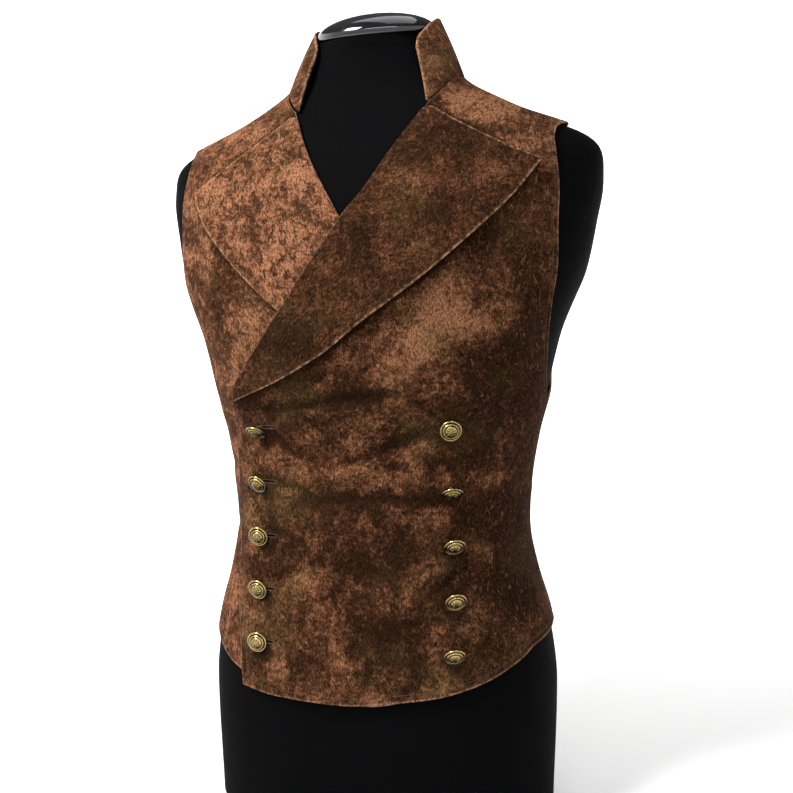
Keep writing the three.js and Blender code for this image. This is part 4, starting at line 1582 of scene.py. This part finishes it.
class Tree:
    """A node tree with short ways to add nodes, link them and give a group its sockets."""

    def __init__(self, tree: bpy.types.NodeTree) -> None:
        """Holds the tree."""
        self.tree = tree

    def add(self, kind: str, inputs: dict | None = None, **settings: object) -> bpy.types.Node:
        """Adds a node.

        Args:
            kind: Its type.
            inputs: What its inputs are fed with, by name or number.
            settings: Its settings, which are made first.

        Returns:
            The node.
        """
        node = self.tree.nodes.new(kind)
        for name, value in settings.items():
            setattr(node, name, value)
        self.fill(node, inputs or {})
        return node

    def fill(self, node: bpy.types.Node, inputs: dict) -> None:
        """Feeds several inputs of a node, by name or number."""
        for name, value in inputs.items():
            self.feed(node.inputs[name], value)

    def feed(self, socket: Socket, value: object) -> None:
        """Links a socket to another, or sets its own value.

        Args:
            socket: The input.
            value: Another node's output, or a plain value.
        """
        if isinstance(value, bpy.types.NodeSocket):
            self.tree.links.new(value, socket)
        else:
            socket.default_value = value

    def math(self, operation: str, a: object, b: object = 0.0, clamp: bool = False) -> Socket:
        """The result of a Math node."""
        return self.add("ShaderNodeMath", {0: a, 1: b}, operation=operation, use_clamp=clamp).outputs[0]

    def span(
        self, value: Socket, low: float, high: float, to_low: float = 0.0, to_high: float = 1.0
    ) -> Socket:
        """A value taken smoothly from one range to another."""
        inputs = {"Value": value, "From Min": low, "From Max": high, "To Min": to_low, "To Max": to_high}
        return self.add("ShaderNodeMapRange", inputs, interpolation_type="SMOOTHSTEP").outputs["Result"]

    def noise(
        self, vector: Socket, scale: object, detail: float, rough: float = 0.6, twist: float = 0.0
    ) -> Socket:
        """The grey value of a Noise Texture."""
        inputs = {
            "Vector": vector, "Scale": scale, "Detail": detail, "Roughness": rough, "Distortion": twist,
        }
        return self.add("ShaderNodeTexNoise", inputs).outputs["Fac"]

    def colours(self, factor: Socket, a: object, b: object, mode: str = "MIX") -> Socket:
        """Two colours mixed."""
        node = self.add("ShaderNodeMix", {0: factor, 6: a, 7: b}, data_type="RGBA", blend_type=mode)
        return node.outputs[2]

    def painted(self, name: str) -> Socket:
        """The value of an attribute painted on the piece."""
        return self.add("ShaderNodeAttribute", attribute_name=name).outputs["Fac"]

    def bump(self, height: Socket, strength: float, distance: float) -> Socket:
        """The normal of a surface with a fine relief."""
        inputs = {"Height": height, "Strength": strength, "Distance": distance}
        return self.add("ShaderNodeBump", inputs).outputs["Normal"]

    def ramp(self, factor: Socket, stops: Sequence[tuple[float, tuple]]) -> Socket:
        """Adds a colour ramp.

        Args:
            factor: What it reads.
            stops: The places of its colours, and the colours.

        Returns:
            The colour it gives.
        """
        node = self.add("ShaderNodeValToRGB", {"Fac": factor})
        ramp = node.color_ramp
        while len(ramp.elements) < len(stops):
            ramp.elements.new(0.5)
        for element, (place, colour) in zip(ramp.elements, stops):
            element.position = place
            element.color = (*colour, 1.0)
        return node.outputs["Color"]


FLOAT = "NodeSocketFloat"
VECTOR = "NodeSocketVector"
OPAQUE = 1.0
Colour = tuple[float, float, float]


def between(a: Colour, b: Colour) -> Colour:
    """The colour half way between two."""
    return tuple((p + q) / 2 for p, q in zip(a, b))


def scaled(colour: Colour, share: float) -> Colour:
    """A colour made darker, or paler if the share is over 1."""
    return tuple(share * part for part in colour)


def new_finish(name: str) -> tuple[Material, Tree, bpy.types.Node, Socket]:
    """Starts a material.

    Args:
        name: Its name.

    Returns:
        The material, its tree, its shader and the Object coordinates.
    """
    material = bpy.data.materials.new(name)
    material.use_nodes = True
    tree = Tree(material.node_tree)
    place = tree.add("ShaderNodeTexCoord").outputs["Object"]
    return material, tree, material.node_tree.nodes["Principled BSDF"], place


@dataclass(frozen=True)
class BrushedNap:
    """The effect that all the suedes share: blotches, crushed flakes, their crests, grain and nap."""

    drift: tuple[float, float, float] = (3.1, 1.7, 5.3)
    crushed_turn: float = -0.75
    crushed_stretch: float = 1.7
    lie_turn: float = 0.55
    lie_stretch: float = 2.6
    flake_edge: tuple[float, float] = (0.535, 0.59)
    crest_edge: tuple[float, float] = (0.44, 0.36)
    tint_edge: tuple[float, float] = (0.5, 0.66)
    grain_scale: float = 1.9
    tint_scale: float = 0.6

    INPUTS = (("Place", VECTOR), ("Cloth", VECTOR), ("Blotch Size", FLOAT), ("Flake Size", FLOAT),
              ("Nap Length", FLOAT))
    OUTPUTS = ("Blotch", "Flake", "Crest", "Grain", "Nap", "Tint")

    def build(self) -> bpy.types.NodeTree:
        """Builds the shader group.

        Returns:
            The group.
        """
        group = bpy.data.node_groups.new("brushed_nap", "ShaderNodeTree")
        for label, kind in self.INPUTS:
            group.interface.new_socket(label, in_out="INPUT", socket_type=kind)
        for label in self.OUTPUTS:
            group.interface.new_socket(label, in_out="OUTPUT", socket_type=FLOAT)
        tree = Tree(group)
        given = tree.add("NodeGroupInput").outputs
        blotch_scale, flake_scale, nap_scale = (
            tree.math("DIVIDE", 1.0, given[label]) for label in ("Blotch Size", "Flake Size", "Nap Length")
        )
        place = given["Place"]
        drifted = tree.add("ShaderNodeVectorMath", {0: place, 1: self.drift}, operation="ADD").outputs[0]
        crushed = self.stretched(tree, given["Cloth"], self.crushed_turn, self.crushed_stretch)
        lie = self.stretched(tree, given["Cloth"], self.lie_turn, self.lie_stretch)
        grain_scale = tree.math("MULTIPLY", flake_scale, self.grain_scale)
        tint_scale = tree.math("MULTIPLY", blotch_scale, self.tint_scale)
        flake = tree.noise(crushed, flake_scale, detail=6.0, rough=0.66, twist=1.1)
        tint = tree.noise(drifted, tint_scale, detail=3.0, rough=0.5)
        tree.add("NodeGroupOutput", {
            "Blotch": tree.noise(place, blotch_scale, detail=9.0, rough=0.66, twist=0.6),
            "Flake": tree.span(flake, *self.flake_edge),
            "Crest": tree.span(flake, *self.crest_edge),
            "Grain": tree.noise(drifted, grain_scale, detail=6.0, rough=0.75, twist=0.7),
            "Nap": tree.noise(lie, nap_scale, detail=5.0, rough=0.78, twist=0.4),
            "Tint": tree.span(tint, *self.tint_edge),
        })
        return group

    def stretched(self, tree: Tree, cloth: Socket, turn: float, stretch: float) -> Socket:
        """Places on the cloth, turned and drawn together one way."""
        inputs = {"Vector": cloth, "Rotation": (0, 0, turn), "Scale": (stretch, 1, 1)}
        return tree.add("ShaderNodeMapping", inputs).outputs["Vector"]


@dataclass(frozen=True)
class SuedeFinish:
    """Brushed brown suede: dark and pale blotches, crushed flakes, fine nap, and paler edges from scuffing
    and a painted highlight.
    """

    name: str
    group: bpy.types.NodeTree
    dark: Colour = (0.0120, 0.0050, 0.0022)
    brown: Colour = (0.064, 0.0255, 0.0118)
    tan: Colour = (0.205, 0.088, 0.045)
    olive: Colour = (0.056, 0.034, 0.0125)
    edge_wear_and_highlight: Colour = (0.34, 0.19, 0.105)
    blotch_size: float = 0.040
    flake_size: float = 0.010
    nap_length: float = 0.0035
    blotch_share: float = 0.5
    contrast: float = 1.0
    shade: float = 0.0
    olive_share: float = 0.5
    offset: tuple[float, float, float] = (0.0, 0.0, 0.0)

    PAINTED_TONE = 0.08
    TONE_HALF = 0.16
    DUSK_AT = 0.3
    BROWN_AT = 0.52
    OLIVE_RANGE = (0.55, 1.9)
    CRUSHED = 0.95
    CREST = 0.5
    NAP_SHADE = (0.39, 0.61, 0.36, 1.75)
    RUBBED_AND_HIGHLIT = (0.42, 0.6, 0.08, 0.8)
    ROUGHNESS = (0.9, 0.8)
    RELIEF = (0.6, 0.5, 0.35)
    SPECULAR = 0.02
    SHEEN = 0.03
    SHEEN_ROUGHNESS = 0.4
    SHEEN_TINT = (0.60, 0.34, 0.21)

    def brushed(self, tree: Tree, place: Socket) -> bpy.types.NodeOutputs:
        """Places the shared nap in a tree, with this suede's sizes.

        Args:
            tree: The suede's tree.
            place: The Object coordinates.

        Returns:
            The nap's outputs.
        """
        offset = tree.add("ShaderNodeMapping", {"Vector": place, "Location": self.offset})
        cloth = tree.add("ShaderNodeUVMap", uv_map="UVMap")
        inputs = {
            "Place": offset.outputs["Vector"], "Cloth": cloth.outputs["UV"], "Blotch Size": self.blotch_size,
            "Flake Size": self.flake_size, "Nap Length": self.nap_length,
        }
        return tree.add("ShaderNodeGroup", inputs, node_tree=self.group).outputs

    def dyed(self, tree: Tree, nap: bpy.types.NodeOutputs, tone: Socket) -> Socket:
        """Dyes the suede from dark to pale, with an olive cast in places.

        Args:
            tree: The suede's tree.
            nap: The nap's outputs.
            tone: The painted tone.

        Returns:
            The colour.
        """
        blotch = tree.math("MULTIPLY", nap["Blotch"], self.blotch_share)
        grain = tree.math("MULTIPLY", nap["Grain"], 1.0 - self.blotch_share)
        painted = tree.math("MULTIPLY", tone, self.PAINTED_TONE)
        grey = tree.math("ADD", tree.math("ADD", blotch, grain), painted)
        middle, half = 0.5 + self.shade, self.TONE_HALF / self.contrast
        depth = tree.span(grey, middle - half, middle + half)
        dusk = between(self.dark, self.brown)
        browns = [(0.0, self.dark), (self.DUSK_AT, dusk), (self.BROWN_AT, self.brown), (1.0, self.tan)]
        deep, pale = (scaled(self.olive, share) for share in self.OLIVE_RANGE)
        cast = tree.ramp(depth, [(0.0, deep), (0.5, self.olive), (1.0, pale)])
        olive_share = tree.math("MULTIPLY", nap["Tint"], self.olive_share)
        return tree.colours(olive_share, tree.ramp(depth, browns), cast)

    def build(self) -> Material:
        """Makes the suede.

        Returns:
            The material.
        """
        material, tree, shader, place = new_finish(self.name)
        nap = self.brushed(tree, place)
        wear_and_highlight, tone, flake = (tree.painted(name) for name in ("wear_and_highlight", "tone", "flake"))
        crushed = tree.math("MULTIPLY", nap["Flake"], tree.math("MULTIPLY", flake, self.CRUSHED))
        crest = tree.math("MULTIPLY", nap["Crest"], tree.math("MULTIPLY", flake, self.CREST))
        base = tree.colours(crushed, self.dyed(tree, nap, tone), (*between(self.dark, self.brown), OPAQUE))
        base = tree.colours(crest, base, (*self.tan, OPAQUE))
        strength = tree.span(nap["Nap"], *self.NAP_SHADE)
        base = tree.add("ShaderNodeVectorMath", {0: base, 1: strength}, operation="MULTIPLY").outputs[0]
        # Paler edges: scuffing, with a painted highlight along the lapels.
        rubbed_and_highlit = tree.math("MULTIPLY", wear_and_highlight, tree.span(nap["Grain"], *self.RUBBED_AND_HIGHLIT))
        nap_part, grain_part, flake_part = self.RELIEF
        raised = tree.math("MULTIPLY", nap["Nap"], nap_part)
        raised = tree.math("ADD", raised, tree.math("MULTIPLY", nap["Grain"], grain_part))
        height = tree.math("SUBTRACT", raised, tree.math("MULTIPLY", crushed, flake_part))
        tree.fill(shader, {
            "Base Color": tree.colours(rubbed_and_highlit, base, (*self.edge_wear_and_highlight, OPAQUE)),
            "Roughness": tree.span(nap["Flake"], 0.0, 1.0, *self.ROUGHNESS),
            "Normal": tree.bump(height, strength=0.6, distance=0.0012),
            "Specular IOR Level": self.SPECULAR,
            "Sheen Weight": self.SHEEN,
            "Sheen Roughness": self.SHEEN_ROUGHNESS,
            "Sheen Tint": (*self.SHEEN_TINT, OPAQUE),
        })
        return material


@dataclass(frozen=True)
class JerseyFinish:
    """Matte black jersey with a fine knit."""

    colour: Colour = (0.0010, 0.0010, 0.0012)
    paler: float = 1.9
    cloud_scale: float = 18.0
    knit_scale: float = 1400.0
    specular: float = 0.03

    def build(self) -> Material:
        """Makes the jersey.

        Returns:
            The material.
        """
        material, tree, shader, place = new_finish("black_jersey")
        cloudy = tree.noise(place, self.cloud_scale, detail=4.0)
        knit = tree.noise(place, self.knit_scale, detail=2.0)
        tree.fill(shader, {
            "Base Color": tree.ramp(cloudy, [(0.35, self.colour), (0.75, scaled(self.colour, self.paler))]),
            "Roughness": tree.span(cloudy, 0.3, 0.7, 0.78, 0.9),
            "Normal": tree.bump(knit, strength=0.25, distance=0.0003),
            "Specular IOR Level": self.specular,
        })
        return material


@dataclass(frozen=True)
class GlossFinish:
    """Polished black, with faint handling marks."""

    colour: Colour = (0.006, 0.006, 0.007)
    paler: float = 1.8
    mark_scale: float = 60.0
    coat: float = 0.6
    coat_roughness: float = 0.04

    def build(self) -> Material:
        """Makes the gloss.

        Returns:
            The material.
        """
        material, tree, shader, place = new_finish("polished_black")
        marks = tree.noise(place, self.mark_scale, detail=6.0, rough=0.7)
        tree.fill(shader, {
            "Base Color": tree.ramp(marks, [(0.4, self.colour), (0.8, scaled(self.colour, self.paler))]),
            "Roughness": tree.span(marks, 0.35, 0.8, 0.06, 0.2),
            "Coat Weight": self.coat,
            "Coat Roughness": self.coat_roughness,
        })
        return material


@dataclass(frozen=True)
class BrassFinish:
    """Antique brass, dark in its hollows and bright on its high parts, with painted shade on its undersides.
    """

    bright: Colour = (0.50, 0.365, 0.145)
    dull: Colour = (0.016, 0.0115, 0.005)
    tarnish_scale: float = 420.0
    crests: tuple[float, float] = (0.47, 0.52)
    underside_shade: tuple[float, ...] = (-0.65, 0.35, 0.10, 1.0)

    def build(self) -> Material:
        """Makes the brass.

        Returns:
            The material.
        """
        material, tree, shader, place = new_finish("antique_brass")
        surface = tree.add("ShaderNodeNewGeometry").outputs
        rise = tree.add("ShaderNodeSeparateXYZ", {0: surface["Normal"]}).outputs["Z"]
        tarnish = tree.noise(place, self.tarnish_scale, detail=5.0, rough=0.65)
        clean = tree.span(tarnish, 0.3, 0.65, 0.55, 1.0)
        mask = tree.math("MULTIPLY", tree.span(surface["Pointiness"], *self.crests), clean)
        # Painted shade: the brass darkens where its face turns down.
        mask = tree.math("MULTIPLY", mask, tree.span(rise, *self.underside_shade), clamp=True)
        tree.fill(shader, {
            "Base Color": tree.ramp(mask, [(0.05, self.dull), (0.8, self.bright)]),
            "Roughness": tree.span(tarnish, 0.3, 0.7, 0.17, 0.32),
            "Normal": tree.bump(tarnish, strength=0.2, distance=0.0002),
            "Metallic": 1.0,
        })
        return material


@dataclass(frozen=True)
class ThreadFinish:
    """Dull brown sewing thread."""

    colour: Colour = (0.038, 0.018, 0.010)
    paler: float = 1.8
    strand_scale: float = 900.0
    roughness: float = 0.75

    def build(self) -> Material:
        """Makes the thread.

        Returns:
            The material.
        """
        material, tree, shader, place = new_finish("brown_thread")
        strand = tree.noise(place, self.strand_scale, detail=3.0)
        tree.fill(shader, {
            "Base Color": tree.ramp(strand, [(0.3, self.colour), (0.7, scaled(self.colour, self.paler))]),
            "Roughness": self.roughness,
        })
        return material


# ---------------- stitches
@dataclass
class Stitching:
    """Rows of stitches made by a node tree that runs along paths."""

    material: Material
    pitch: float = 3.3
    length: float = 2.5
    thread: float = 0.42
    seed: int = 7
    shortest: float = 0.88
    longest: float = 1.08
    segments: int = 8
    rings: int = 6

    def tree(self) -> bpy.types.NodeTree:
        """Builds the node tree: paths in, a stitch at each pitch out.

        Returns:
            The tree.
        """
        group = bpy.data.node_groups.new("stitch_run", "GeometryNodeTree")
        group.interface.new_socket("Geometry", in_out="INPUT", socket_type="NodeSocketGeometry")
        for label in ("Pitch", "Stitch Length", "Thread Radius"):
            group.interface.new_socket(label, in_out="INPUT", socket_type=FLOAT)
        group.interface.new_socket("Seed", in_out="INPUT", socket_type="NodeSocketInt")
        group.interface.new_socket("Geometry", in_out="OUTPUT", socket_type="NodeSocketGeometry")
        tree = Tree(group)
        given, result = tree.add("NodeGroupInput"), tree.add("NodeGroupOutput")
        line = tree.add("GeometryNodeMeshToCurve", {"Mesh": given.outputs["Geometry"]})
        steps = {"Curve": line.outputs[0], "Length": given.outputs["Pitch"]}
        points = tree.add("GeometryNodeCurveToPoints", steps, mode="LENGTH").outputs
        form = {"Segments": self.segments, "Rings": self.rings, "Radius": 1.0}
        ball = tree.add("GeometryNodeMeshUVSphere", form)
        jitter = tree.add(
            "FunctionNodeRandomValue", {2: self.shortest, 3: self.longest, "Seed": given.outputs["Seed"]},
            data_type="FLOAT",
        )
        half = tree.math("MULTIPLY", given.outputs["Stitch Length"], 0.5)
        long = tree.math("MULTIPLY", half, jitter.outputs[1])
        radius = given.outputs["Thread Radius"]
        size = tree.add("ShaderNodeCombineXYZ", {"X": radius, "Y": radius, "Z": long})
        turn = tree.add("FunctionNodeAlignRotationToVector", {"Vector": points["Tangent"]}, axis="Z")
        placed = tree.add("GeometryNodeInstanceOnPoints", {
            "Points": points["Points"], "Instance": ball.outputs["Mesh"],
            "Rotation": turn.outputs[0], "Scale": size.outputs[0],
        })
        real = tree.add("GeometryNodeRealizeInstances", {"Geometry": placed.outputs[0]})
        smooth = tree.add("GeometryNodeSetShadeSmooth", {"Geometry": real.outputs[0]})
        finish = {"Geometry": smooth.outputs[0], "Material": self.material}
        dressed = tree.add("GeometryNodeSetMaterial", finish)
        tree.feed(result.inputs[0], dressed.outputs[0])
        return group

    def sew(self, name: str, paths: Sequence[Array], group: bpy.types.NodeTree) -> bpy.types.Object:
        """Sews along paths and gives back a plain mesh.

        Args:
            name: The piece's name.
            paths: Rows of points in millimetres.
            group: The node tree.

        Returns:
            The stitches, as one piece.
        """
        mesh = bpy.data.meshes.new(name)
        edges, first = [], 0
        for path in paths:
            edges += [(first + i, first + i + 1) for i in range(len(path) - 1)]
            first += len(path)
        mesh.from_pydata((np.concatenate(paths) * MM).tolist(), edges, [])
        piece = linked(name, mesh)
        modifier = piece.modifiers.new("stitches", "NODES")
        modifier.node_group = group
        values = {"Pitch": self.pitch * MM, "Stitch Length": self.length * MM,
                  "Thread Radius": self.thread * MM, "Seed": self.seed}
        for item in group.interface.items_tree:
            if item.item_type == "SOCKET" and item.in_out == "INPUT" and item.name in values:
                modifier[item.identifier] = values[item.name]
        bpy.context.view_layer.update()
        done = bpy.data.meshes.new_from_object(piece.evaluated_get(bpy.context.evaluated_depsgraph_get()))
        piece.modifiers.clear()
        piece.data = done
        return piece


# ---------------- studio
Spot = tuple[float, float, float]


@dataclass(frozen=True)
class SoftBox:
    """A rectangular light, sized in metres, and its power in watts."""

    name: str
    place: Spot
    aim: Spot
    size: tuple[float, float]
    power: float

    def build(self) -> None:
        """Makes the light."""
        data = bpy.data.lights.new(self.name, "AREA")
        data.shape = "RECTANGLE"
        data.size, data.size_y = self.size
        data.energy = self.power
        light = linked(self.name, data)
        light.location = self.place
        light.rotation_euler = (Vector(self.aim) - Vector(self.place)).to_track_quat("-Z", "Y").to_euler()


@dataclass
class Studio:
    """A pale round backdrop that glows behind, soft lights and the camera. Its sizes are in metres."""

    floor_ring: float = 0.6
    floor_radius: float = 3.0
    wall_radius: float = 4.0
    wall_height: float = 3.2
    sides: int = 96
    bend_rows: int = 12
    paint: Colour = (0.86, 0.86, 0.86)
    paint_roughness: float = 0.9
    paint_specular: float = 0.1
    glow: tuple[float, float] = (0.18, 0.95)
    glow_depth: tuple[float, float] = (-0.3, 1.8)
    room_light: float = 0.08
    lens: float = 44.915
    sensor: float = 36.0
    clip_end: float = 50.0
    azimuth: float = 16.49
    pitch: float = 1.49
    roll: float = -0.58
    camera_place: Spot = (0.3201, -1.0278, 0.4585)

    WHITE = (1.0, 1.0, 1.0, OPAQUE)
    SOFT_BOXES = (
        SoftBox("key_softbox", (-0.85, -1.10, 1.95), (0, 0, 0.55), (0.6, 0.6), 66.0),
        SoftBox("fill_softbox", (1.9, -1.5, 1.0), (0, 0, 0.45), (1.2, 1.6), 0.8),
        SoftBox("top_softbox", (0.2, 0.2, 2.3), (0, 0, 0.5), (1.6, 1.0), 6.0),
        SoftBox("cap_strip", (0.5, -1.7, 1.75), (0, 0, 0.8), (1.8, 0.2), 8.0),
    )

    def backdrop_finish(self) -> Material:
        """Makes the backdrop's paint, which glows more the further behind it is.

        Returns:
            The material.
        """
        material, tree, shader, place = new_finish("pale_backdrop")
        turn = math.radians(self.azimuth)
        ways = {0: place, 1: (-math.sin(turn), math.cos(turn), 0.0)}
        depth = tree.add("ShaderNodeVectorMath", ways, operation="DOT_PRODUCT").outputs["Value"]
        tree.fill(shader, {
            "Base Color": (*self.paint, OPAQUE),
            "Roughness": self.paint_roughness,
            "Specular IOR Level": self.paint_specular,
            "Emission Color": self.WHITE,
            "Emission Strength": tree.span(depth, *self.glow_depth, *self.glow),
        })
        return material

    def build_backdrop(self) -> None:
        """Makes the floor, which curves up into a wall all round."""
        bend = self.wall_radius - self.floor_radius
        profile = [(self.floor_ring, 0.0), (self.floor_radius, 0.0)]
        for t in np.linspace(0, math.pi / 2, self.bend_rows)[1:]:
            profile.append((self.floor_radius + bend * math.sin(t), bend * (1 - math.cos(t))))
        profile.append((self.wall_radius, self.wall_height))
        turn = np.linspace(0, 2 * math.pi, self.sides, endpoint=False)
        points = [(r * math.cos(t), r * math.sin(t), h) for r, h in profile for t in turn]
        faces = [[0, 1 + i, 1 + (i + 1) % self.sides] for i in range(self.sides)]
        for row in range(len(profile) - 1):
            first = 1 + row * self.sides
            for i in range(self.sides):
                a, b = first + i, first + (i + 1) % self.sides
                faces.append([a, a + self.sides, b + self.sides, b])
        mesh = bpy.data.meshes.new("studio_backdrop")
        mesh.from_pydata([(0.0, 0.0, 0.0), *points], [], faces)
        mesh.shade_smooth()
        mesh.materials.append(self.backdrop_finish())
        linked("studio_backdrop", mesh)

    def build_lights(self) -> None:
        """Makes the soft boxes and the even light of the room."""
        for box in self.SOFT_BOXES:
            box.build()
        world = bpy.data.worlds.new("room")
        world.use_nodes = True
        inputs = {"Color": self.WHITE, "Strength": self.room_light}
        Tree(world.node_tree).fill(world.node_tree.nodes["Background"], inputs)
        bpy.context.scene.world = world

    def build_camera(self) -> None:
        """Makes the camera."""
        data = bpy.data.cameras.new("camera")
        data.lens = self.lens
        data.sensor_width = self.sensor
        data.clip_end = self.clip_end
        camera = linked("camera", data)
        turn = Matrix.Rotation(math.radians(self.azimuth), 4, "Z")
        nod = Matrix.Rotation(math.radians(90 - self.pitch), 4, "X")
        roll = Matrix.Rotation(math.radians(self.roll), 4, "Z")
        camera.matrix_world = Matrix.Translation(self.camera_place) @ turn @ nod @ roll
        bpy.context.scene.camera = camera
        bpy.context.scene.view_settings.view_transform = "Standard"


# ---------------- assembly
def dress(piece: bpy.types.Object, slot: str, *nodes: str) -> bpy.types.Object:
    """Puts a finished piece on the body and hides the solids that it stands for.

    Args:
        piece: The piece.
        slot: Not used.
        nodes: The solids that it replaces.

    Returns:
        The piece.
    """
    if nodes:
        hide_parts(*nodes)
    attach(piece, BODY)
    LOG.info("%s: %d faces", piece.name, len(piece.data.polygons))
    return piece


class Vest:
    """The vest: two fronts, a back, two lapels and a stand collar, in four suedes."""

    def __init__(self, stitching: Stitching) -> None:
        """Dyes the suedes and builds the stitches' node tree.

        Args:
            stitching: The stitches of its seams.
        """
        group = BrushedNap().build()
        self.left_suede = SuedeFinish(
            "suede_left_front", group, tan=(0.165, 0.074, 0.036), shade=0.012, contrast=1.45,
        ).build()
        self.right_suede = SuedeFinish(
            "suede_right_front", group, blotch_size=0.03, flake_size=0.013, shade=-0.03, contrast=1.25,
            olive_share=0.25, offset=(0.4, 0.2, 0.1),
        ).build()
        self.lapel_suede = SuedeFinish(
            "suede_lapels", group, tan=(0.135, 0.056, 0.028), blotch_share=0.42, contrast=1.15,
            olive_share=0.3, offset=(1.2, 0.7, 0.3),
        ).build()
        self.back_suede = SuedeFinish(
            "suede_back", group, tan=(0.170, 0.074, 0.038), contrast=1.3, offset=(2.0, 0.4, 1.5),
        ).build()
        self.stitching = stitching
        self.buttonhole_stitching = Stitching(stitching.material, pitch=1.15, length=1.5)
        self.seams = stitching.tree()

    def panels(self) -> list[tuple[Panel, Material]]:
        """Lays out the panels.

        Returns:
            The left front, the right front and the back, each with its suede.
        """
        narrow, wide, tall = Spacing(between=120), Spacing(between=150), Spacing(between=220)
        # Painted shadows under the buttons darken the left front's tone.
        painted_shadow = [button.painted_shadow() for button in (*SEWN_BUTTONS, *FASTENED_BUTTONS)]
        left = Front(
            "left_front_panel", "left_front", front_patch(LEFT_HEM, LEFT_EDGE), left_lift, narrow, tall,
            flat=(0.36, 0.60), area=0.188, folds=LEFT_FOLDS, lapel=LEFT_LAPEL,
            patches=(*FRONT_PATCHES, *painted_shadow), flake_low=0.25,
        )
        right = Front(
            "right_front_panel", "right_front", front_patch(RIGHT_HEM, RIGHT_EDGE), right_lift, narrow, tall,
            Side.RIGHT, flat=(0.34, 0.60), area=0.176, folds=RIGHT_FOLDS, lapel=RIGHT_LAPEL,
        )
        back = Back(
            "back_panel", "back", back_patch(), back_lift, wide, tall, flat=(0.46, 0.60), area=0.253,
            folds=BACK_FOLDS, patches=BACK_PATCHES, flake_low=0.6, flake_high=0.6,
        )
        return [(left, self.left_suede), (right, self.right_suede), (back, self.back_suede)]

    def build_panels(self) -> None:
        """Makes the panels and their stitches, and cuts and works the buttonholes."""
        holes = [Buttonhole(button) for button in FASTENED_BUTTONS]
        for panel, suede in self.panels():
            piece = panel.build(suede)
            if panel.node == "left_front":
                cut_buttonholes(piece, holes)
            dress(piece, "suede", panel.node)
            stitches = self.stitching.sew(f"{panel.name}_stitches", panel.stitch_paths(), self.seams)
            dress(stitches, "suede")
        lips = [hole.lip_path() for hole in holes]
        dress(self.buttonhole_stitching.sew("buttonhole_stitches", lips, self.seams), "suede")

    def build_lapels(self) -> None:
        """Makes the lapels: the left one stands proud all along, the right one only near its top."""
        over = Lapel(
            "left_lapel_leaf", "left_lapel", LEFT_LAPEL, left_lift, Side.LEFT, flat=(0.14, 0.39),
            area=0.036, proud=7.0, proud_from=0.0, proud_full=0.4, tone=-0.8, flake=0.4,
        )
        under = Lapel(
            "right_lapel_leaf", "right_lapel", RIGHT_LAPEL, right_lift, Side.RIGHT, flat=(0.13, 0.38),
            area=0.0335, proud=3.0, proud_from=0.58, proud_full=0.78, tone=0.1, flake=1.0,
        )
        for lapel, suede in ((over, self.lapel_suede), (under, self.right_suede)):
            piece = dress(lapel.build(suede), "suede", lapel.node)

    def build_collar(self) -> None:
        """Makes the collar."""
        collar = Collar()
        piece = dress(collar.build(self.back_suede), "suede", collar.node)


def main() -> None:
    """Builds the studio, the form, the vest and its buttons."""
    logging.basicConfig(level=logging.INFO, format="%(name)s: %(message)s")
    bpy.ops.wm.read_factory_settings(use_empty=True)
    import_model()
    studio = Studio()
    studio.build_camera()
    studio.build_backdrop()
    studio.build_lights()
    form = DressForm()
    dress(form.build_body(JerseyFinish().build()), "jersey", "form_body")
    dress(form.build_cap(GlossFinish().build()), "cap_gloss", "neck_cap")
    thread = ThreadFinish().build()
    vest = Vest(Stitching(thread))
    vest.build_panels()
    vest.build_lapels()
    vest.build_collar()
    brass = BrassFinish().build()
    buttons = Buttons()
    buttons.build_column("button_fastened", FASTENED_BUTTONS, brass, thread)
    buttons.build_column("button_sewn", SEWN_BUTTONS, brass, thread)


if __name__ == "__main__":
    main()
